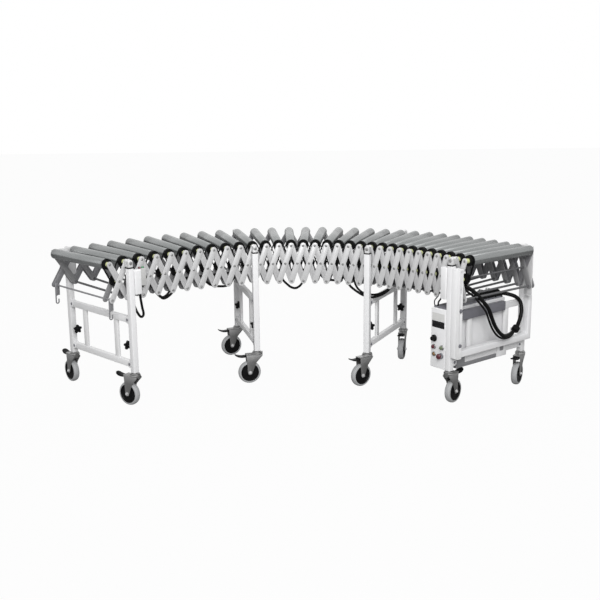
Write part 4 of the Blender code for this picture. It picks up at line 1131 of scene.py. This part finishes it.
def dress_hooks(front, rear):
    """Rod across the first bottom pivots with a flat coupling hook at each end."""
    near = front.bottom(0)
    run = rear.bottom(0) - near
    heading = run.normalized()
    along = heading.cross(UP).normalized()
    frame = Matrix.Translation(near) @ basis(along, heading, along.cross(heading))
    items = [smooth(rod("rod", (0, 0, 0), (0, run.length, 0), 0.0043))]
    half, bend, outer, mouth = 0.013, -0.087, 0.011, 0.005
    middle = outer - half
    outline = [(half, 0.004), (0.006, half), (-0.006, half), (-half, 0.004), (-half, bend)]
    outline += arc((middle, bend), outer, math.pi, TAU, 12)[1:]
    outline += [(middle + outer, bend + 0.014), (middle + 0.008, bend + 0.0155),
                (middle + mouth, bend + 0.014)]
    outline += arc((middle, bend), mouth, TAU, math.pi, 10)
    outline += [(middle - mouth, bend + 0.03), (middle + 0.002, bend + 0.034),
                (half, bend + 0.034)]
    first = LATTICE_DEEP / 2 + 0.0015 + 0.002
    for across in (first, run.length - first):
        item = soften(flat_plate("hook", outline, 0.004), 0.0008)
        item.data.transform(move(0, across, 0) @ RISE)
        items.append(item)
    single("coupling_hooks", joined("hooks", items), frame, "dark_zinc", "hook_bar", "hook_bar")


def bed_point(station, across, height):
    """Point at a place between two stations."""
    index = min(int(station), len(PLACES) - 2)
    low, high = PLACES[index], PLACES[index + 1]
    return low.place(0, across, height).lerp(high.place(0, across, height), station - index)


def hung_cable(across, swags, start, end):
    """Cable behind the lattice at the height its links cover best, which hangs down in swags."""
    covered = 0.588
    route = []
    for step in range(int((end - start) * 2) + 1):
        station = start + step / 2
        if not any(run[0][0] - 0.3 < station < run[-1][0] + 0.3 for run in swags):
            route.append((station, across, covered))
    for run in swags:
        route += [(station, across, height) for station, height in run]
    return sorted(route)


# Swags of the two supply cables, as stations along the bed and heights
FIRST_SWAGS = (
    ((2.7, 0.575), (2.9, 0.55), (3.05, 0.531), (3.25, 0.514), (3.45, 0.503), (3.75, 0.509),
     (4.1, 0.53), (4.45, 0.57)),
    ((6.25, 0.57), (6.65, 0.545), (7.00, 0.532), (7.25, 0.5275), (7.55, 0.5245), (7.85, 0.524),
     (8.2, 0.531), (8.45, 0.56)),
    ((12.1, 0.562), (12.35, 0.533), (12.65, 0.513), (12.95, 0.497), (13.3, 0.491),
     (13.6, 0.499), (13.85, 0.516), (14.1, 0.545)),
    ((15.3, 0.577), (15.65, 0.551), (16.1, 0.5395), (16.6, 0.536), (17.05, 0.539),
     (17.35, 0.552), (17.55, 0.552), (17.8, 0.532), (18.08, 0.51), (18.42, 0.494),
     (18.8, 0.48), (19.25, 0.467), (19.9, 0.46), (20.4, 0.462), (20.95, 0.474),
     (21.35, 0.488), (21.75, 0.506), (22.1, 0.535), (22.4, 0.572)),
)
SECOND_SWAGS = (
    ((2.8, 0.575), (3.05, 0.54), (3.25, 0.52), (3.45, 0.508), (3.7, 0.514), (3.95, 0.533),
     (4.2, 0.565)),
    ((18.22, 0.575), (18.35, 0.55), (18.48, 0.525), (18.65, 0.504), (18.88, 0.489),
     (19.25, 0.476), (19.9, 0.4705), (20.4, 0.4725), (20.95, 0.483), (21.35, 0.496),
     (21.75, 0.513), (22.1, 0.54), (22.4, 0.575)),
)
# Loop of the first cable under its box, as station, across and height
BOX_LOOP = (
    (1.75, -0.001, 0.5596), (1.8, 0.004, 0.538), (1.97, 0.016, 0.482), (2.08, 0.022, 0.453),
    (2.07, 0.022, 0.437), (1.94, 0.022, 0.43), (1.78, 0.021, 0.443), (1.6, 0.02, 0.472),
    (1.45, 0.02, 0.515), (1.45, 0.02, 0.56), (1.7, 0.02, 0.586),
)
# Loop of the conduit from the lattice's end to the lid, in the last stand's frame
CONDUIT_LOOP = (
    (0.024, 0.068, 0.588), (0.04, 0.089, 0.574), (0.06, 0.117, 0.546), (0.078, 0.143, 0.51),
    (0.085, 0.177, 0.468), (0.085, 0.2, 0.425), (0.08, 0.235, 0.372), (0.075, 0.279, 0.328),
    (0.07, 0.323, 0.304), (0.065, 0.372, 0.304), (0.06, 0.419, 0.322), (0.055, 0.453, 0.359),
    (0.046, 0.478, 0.405), (0.03, 0.484, 0.448), (0.012, 0.467, 0.473), (-0.014, 0.449, 0.483),
    (-0.035, 0.43, 0.488), (-0.05, 0.395, 0.4925), (-0.052, 0.34, 0.4925),
    (-0.052, 0.29, 0.491), (-0.052, 0.274, 0.484),
)
CLAMP_PLACE = CONDUIT_LOOP[10]


def dress_cables():
    """Two supply cables in swags below the lattice, the conduit round the end and its lead."""
    last = stand_frame(3)

    def at_last(points):
        return [last @ Vector(point) for point in points]

    route = [*BOX_LOOP, *hung_cable(0.02, FIRST_SWAGS, 2.0, 28.5)]
    points = [bed_point(*place) for place in route]
    points += at_last(((0.004, 0.046, 0.589), (0.024, 0.068, 0.588)))
    first = tube("swag", even(points, 420), 0.0062, 12)
    points = [bed_point(*place) for place in hung_cable(0.03, SECOND_SWAGS, 1.5, 26.0)]
    points += [bed_point(26.45, 0.028, 0.565), *at_last([(-0.126, 0.042, 0.5125)])]
    second = tube("swag", even(points, 300), 0.0056, 12)
    conduit = tube("conduit", even(at_last(CONDUIT_LOOP), 130), 0.0098, 14)
    run = mark_local(joined("cable_run", [first, second, conduit]))
    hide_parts("cable_harness")

    beside = Vector((0.002, -0.023, -0.008))
    route = [Vector(CONDUIT_LOOP[0]) - Vector((0.01, 0.008, 0))]
    route += [Vector(point) + beside for point in CONDUIT_LOOP[1:8]]
    route += [(0.073, 0.302, 0.296), (0.069, 0.345, 0.289), (0.0645, 0.384, 0.296), CLAMP_PLACE]
    lead = mark_local(joined("conduit_lead", [tube("lead", even(at_last(route), 70), 0.0052, 12)]))
    for item in (run, lead):
        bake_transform(paint(item, "cable_rubber"))


def dress_lid_cables():
    """Cables on the cabinet's lid beside the conduit's end, and the two leads down to it."""
    frame = stand_frame(3)
    runs, lid = [], LID_TOP
    for x, start, lift in ((-0.031, 0.24, 0.01), (-0.073, 0.248, 0.01), (-0.041, 0.262, 0.027),
                           (-0.062, 0.255, 0.027)):
        route = [(x, start, lid + 0.003), (x, start + 0.014, lid + lift + 0.004),
                 (x, start + 0.05, lid + lift), (x, 0.36, lid + lift),
                 (x, 0.392, lid + lift - 0.002), (x, 0.402, lid + lift * 0.4),
                 (x, 0.403, lid - 0.004)]
        runs.append(tube("run", even(route, 34), 0.0085, 12))
    single("lid_cables", joined("lid cables", runs), frame, "cable_rubber", "stand_4")
    ties = []
    for across in (0.3, 0.352):
        tie = block("tie", (-0.085, across - 0.003, lid + 0.0005),
                    (-0.018, across + 0.003, lid + 0.0378))
        hole = block("hole", (-0.0835, across - 0.01, lid - 0.01),
                     (-0.0195, across + 0.01, lid + 0.0364))
        ties.append(soften(cut(tie, hole), 0.0006, 1))
    single("cable_ties", joined("ties", ties), frame, "black_plastic", "stand_4")
    leads = []
    for radius, route in (
            (0.0027, [(-0.126, 0.042, 0.5125), (-0.118, 0.024, 0.51), (-0.111, 0.006, 0.503),
                      (-0.104, -0.002, 0.4895), (-0.098, -0.0015, lid - 0.001)]),
            (0.004, [(-0.092, 0.042, 0.586), (-0.098, 0.042, 0.55), (-0.097, 0.038, 0.52),
                      (-0.09, 0.022, 0.508), (-0.085, 0.006, 0.5),
                      (-0.084, 0.0015, lid - 0.001)])):
        leads.append(tube("lead", even([frame @ Vector(p) for p in route], 30), radius, 10))
    piece = paint(mark_local(joined("drop_leads", leads)), "cable_rubber")
    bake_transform(piece)


def dress_clamp():
    """Black clip round the conduit's lowest bend, and the white bracket it stands on."""
    frame = stand_frame(3)
    ring = spun("ring", [
        (0.0104, -0.014), (0.017, -0.014), (0.0195, -0.011), (0.0195, 0.011),
        (0.017, 0.014), (0.0104, 0.014), (0.0104, -0.014),
    ], 24, 30)
    ring.data.transform(aim(Vector(CLAMP_PLACE), Vector((-0.01, 0.081, 0.055))))
    single("conduit_clamp", ring, frame, "black_plastic", "stand_4")
    arm = soften(block("arm", (0.033, 0.408, 0.27), (0.043, 0.43, 0.326)), 0.002)
    single("clamp_bracket", arm, frame, "white_paint", "stand_4")


# Studio

def seen_rays(wiring, *also):
    """One for rays that show the background: from the camera and of the other named kinds."""
    rays = wiring.add("LightPath").node.outputs
    found = rays["Is Camera Ray"]
    for name in also:
        found = wiring.add("Math", {0: found, 1: rays[name]}, "Value", operation="MAXIMUM")
    return found


def studio_world():
    """Soft light all round, with plain white where the camera sees it."""
    world = bpy.data.worlds.new("studio")
    wiring = Wiring(world)
    soft = wiring.nodes["Background"]
    wiring.fill(soft, {"Color": (1, 1, 1, 1), "Strength": SOFT_LIGHT})
    plain = wiring.add("Background", {"Color": (1, 1, 1, 1), "Strength": 1.0})
    seen = seen_rays(wiring, "Is Glossy Ray", "Is Transmission Ray")
    mix = wiring.add("MixShader", {0: seen, 1: soft.outputs["Background"], 2: plain})
    wiring.fill(wiring.nodes["World Output"], {"Surface": mix})
    return world


def floor_material():
    """Pale grey that the camera sees almost white, so that only the shadows show."""
    material = bpy.data.materials.new("floor_white")
    wiring = Wiring(material)
    shader = wiring.nodes["Principled BSDF"]
    wiring.fill(shader, {"Base Color": (FLOOR_GREY, FLOOR_GREY, FLOOR_GREY, 1), "Roughness": 0.9})
    glow = wiring.add("Emission", {"Strength": 1.0})
    share = wiring.add("Math", {0: seen_rays(wiring), 1: FLOOR_GLOW}, operation="MULTIPLY")
    mix = wiring.add("MixShader", {0: share, 1: shader.outputs["BSDF"], 2: glow})
    wiring.fill(wiring.nodes["Material Output"], {"Surface": mix})
    return material


def studio(offset):
    """Pale floor, soft lights and the camera at the photograph's viewing angle."""
    scene = bpy.context.scene
    scene.view_settings.view_transform = "Standard"
    scene.world = studio_world()
    bpy.ops.object.select_all(action="DESELECT")
    bpy.ops.mesh.primitive_plane_add(size=FLOOR_SIZE, location=(0, 0, 0))
    floor = named("floor")
    floor.data.materials.append(floor_material())

    for name, place, target, size, power in LIGHTS:
        lamp = bpy.data.lights.new(name, "AREA")
        lamp.energy = power
        lamp.size = size
        item = bpy.data.objects.new(name, lamp)
        item.location = place
        item.rotation_euler = (Vector(target) - Vector(place)).to_track_quat("-Z", "Y").to_euler()
        scene.collection.objects.link(item)

    camera = bpy.data.cameras.new("photo_camera")
    camera.sensor_width = 36
    camera.lens = CAMERA_LENS
    camera.clip_end = 60
    item = bpy.data.objects.new("photo_camera", camera)
    scene.collection.objects.link(item)
    cos, sin = math.cos, math.sin
    ahead = Vector((0, cos(CAMERA_PITCH), -sin(CAMERA_PITCH)))
    down = Vector((0, -sin(CAMERA_PITCH), -cos(CAMERA_PITCH)))
    right = Vector((1, 0, 0))
    x = cos(CAMERA_ROLL) * right - sin(CAMERA_ROLL) * down
    y = -sin(CAMERA_ROLL) * right - cos(CAMERA_ROLL) * down
    eye = Vector((0, 0, CAMERA_HEIGHT)) + offset
    item.matrix_world = Matrix.Translation(eye) @ basis(x, y, -ahead)
    scene.camera = item


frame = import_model()
first_joint = next(joint for joint in frame["joints"] if joint["name"] == "roller_01_spin")
seed = Station(*FIRST_STATION, roller_angle(0))
centre = seed.place(0, ROLLER_START + ROLLER_LENGTH / 2, AXLE_HEIGHT)
OFFSET = Vector(first_joint["pos_m"]) - centre
PLACES = course((FIRST_STATION[0] + OFFSET.x, FIRST_STATION[1] + OFFSET.y))
FINISHES = {name: finish_material(name, *numbers, **extra)
            for name, *numbers, extra in FINISH_ROWS}

front_side = Lattice(LATTICE_DEEP / 2, -1)
rear_side = Lattice(REAR_START + LATTICE_DEEP / 2, 1)
studio(OFFSET)
dress_rollers()
dress_lattice("front", front_side)
dress_lattice("rear", rear_side)
dress_drive(front_side)
dress_rods(front_side, rear_side)
dress_rear_halves(rear_side)
for stand in range(len(STAND_STATIONS)):
    dress_stand(stand)
dress_legs()
dress_gussets()
dress_casters()
dress_end_frame()
dress_cross_cover()
dress_boxes()
dress_cabinet()
dress_hooks(front_side, rear_side)
dress_cables()
dress_lid_cables()
dress_clamp()
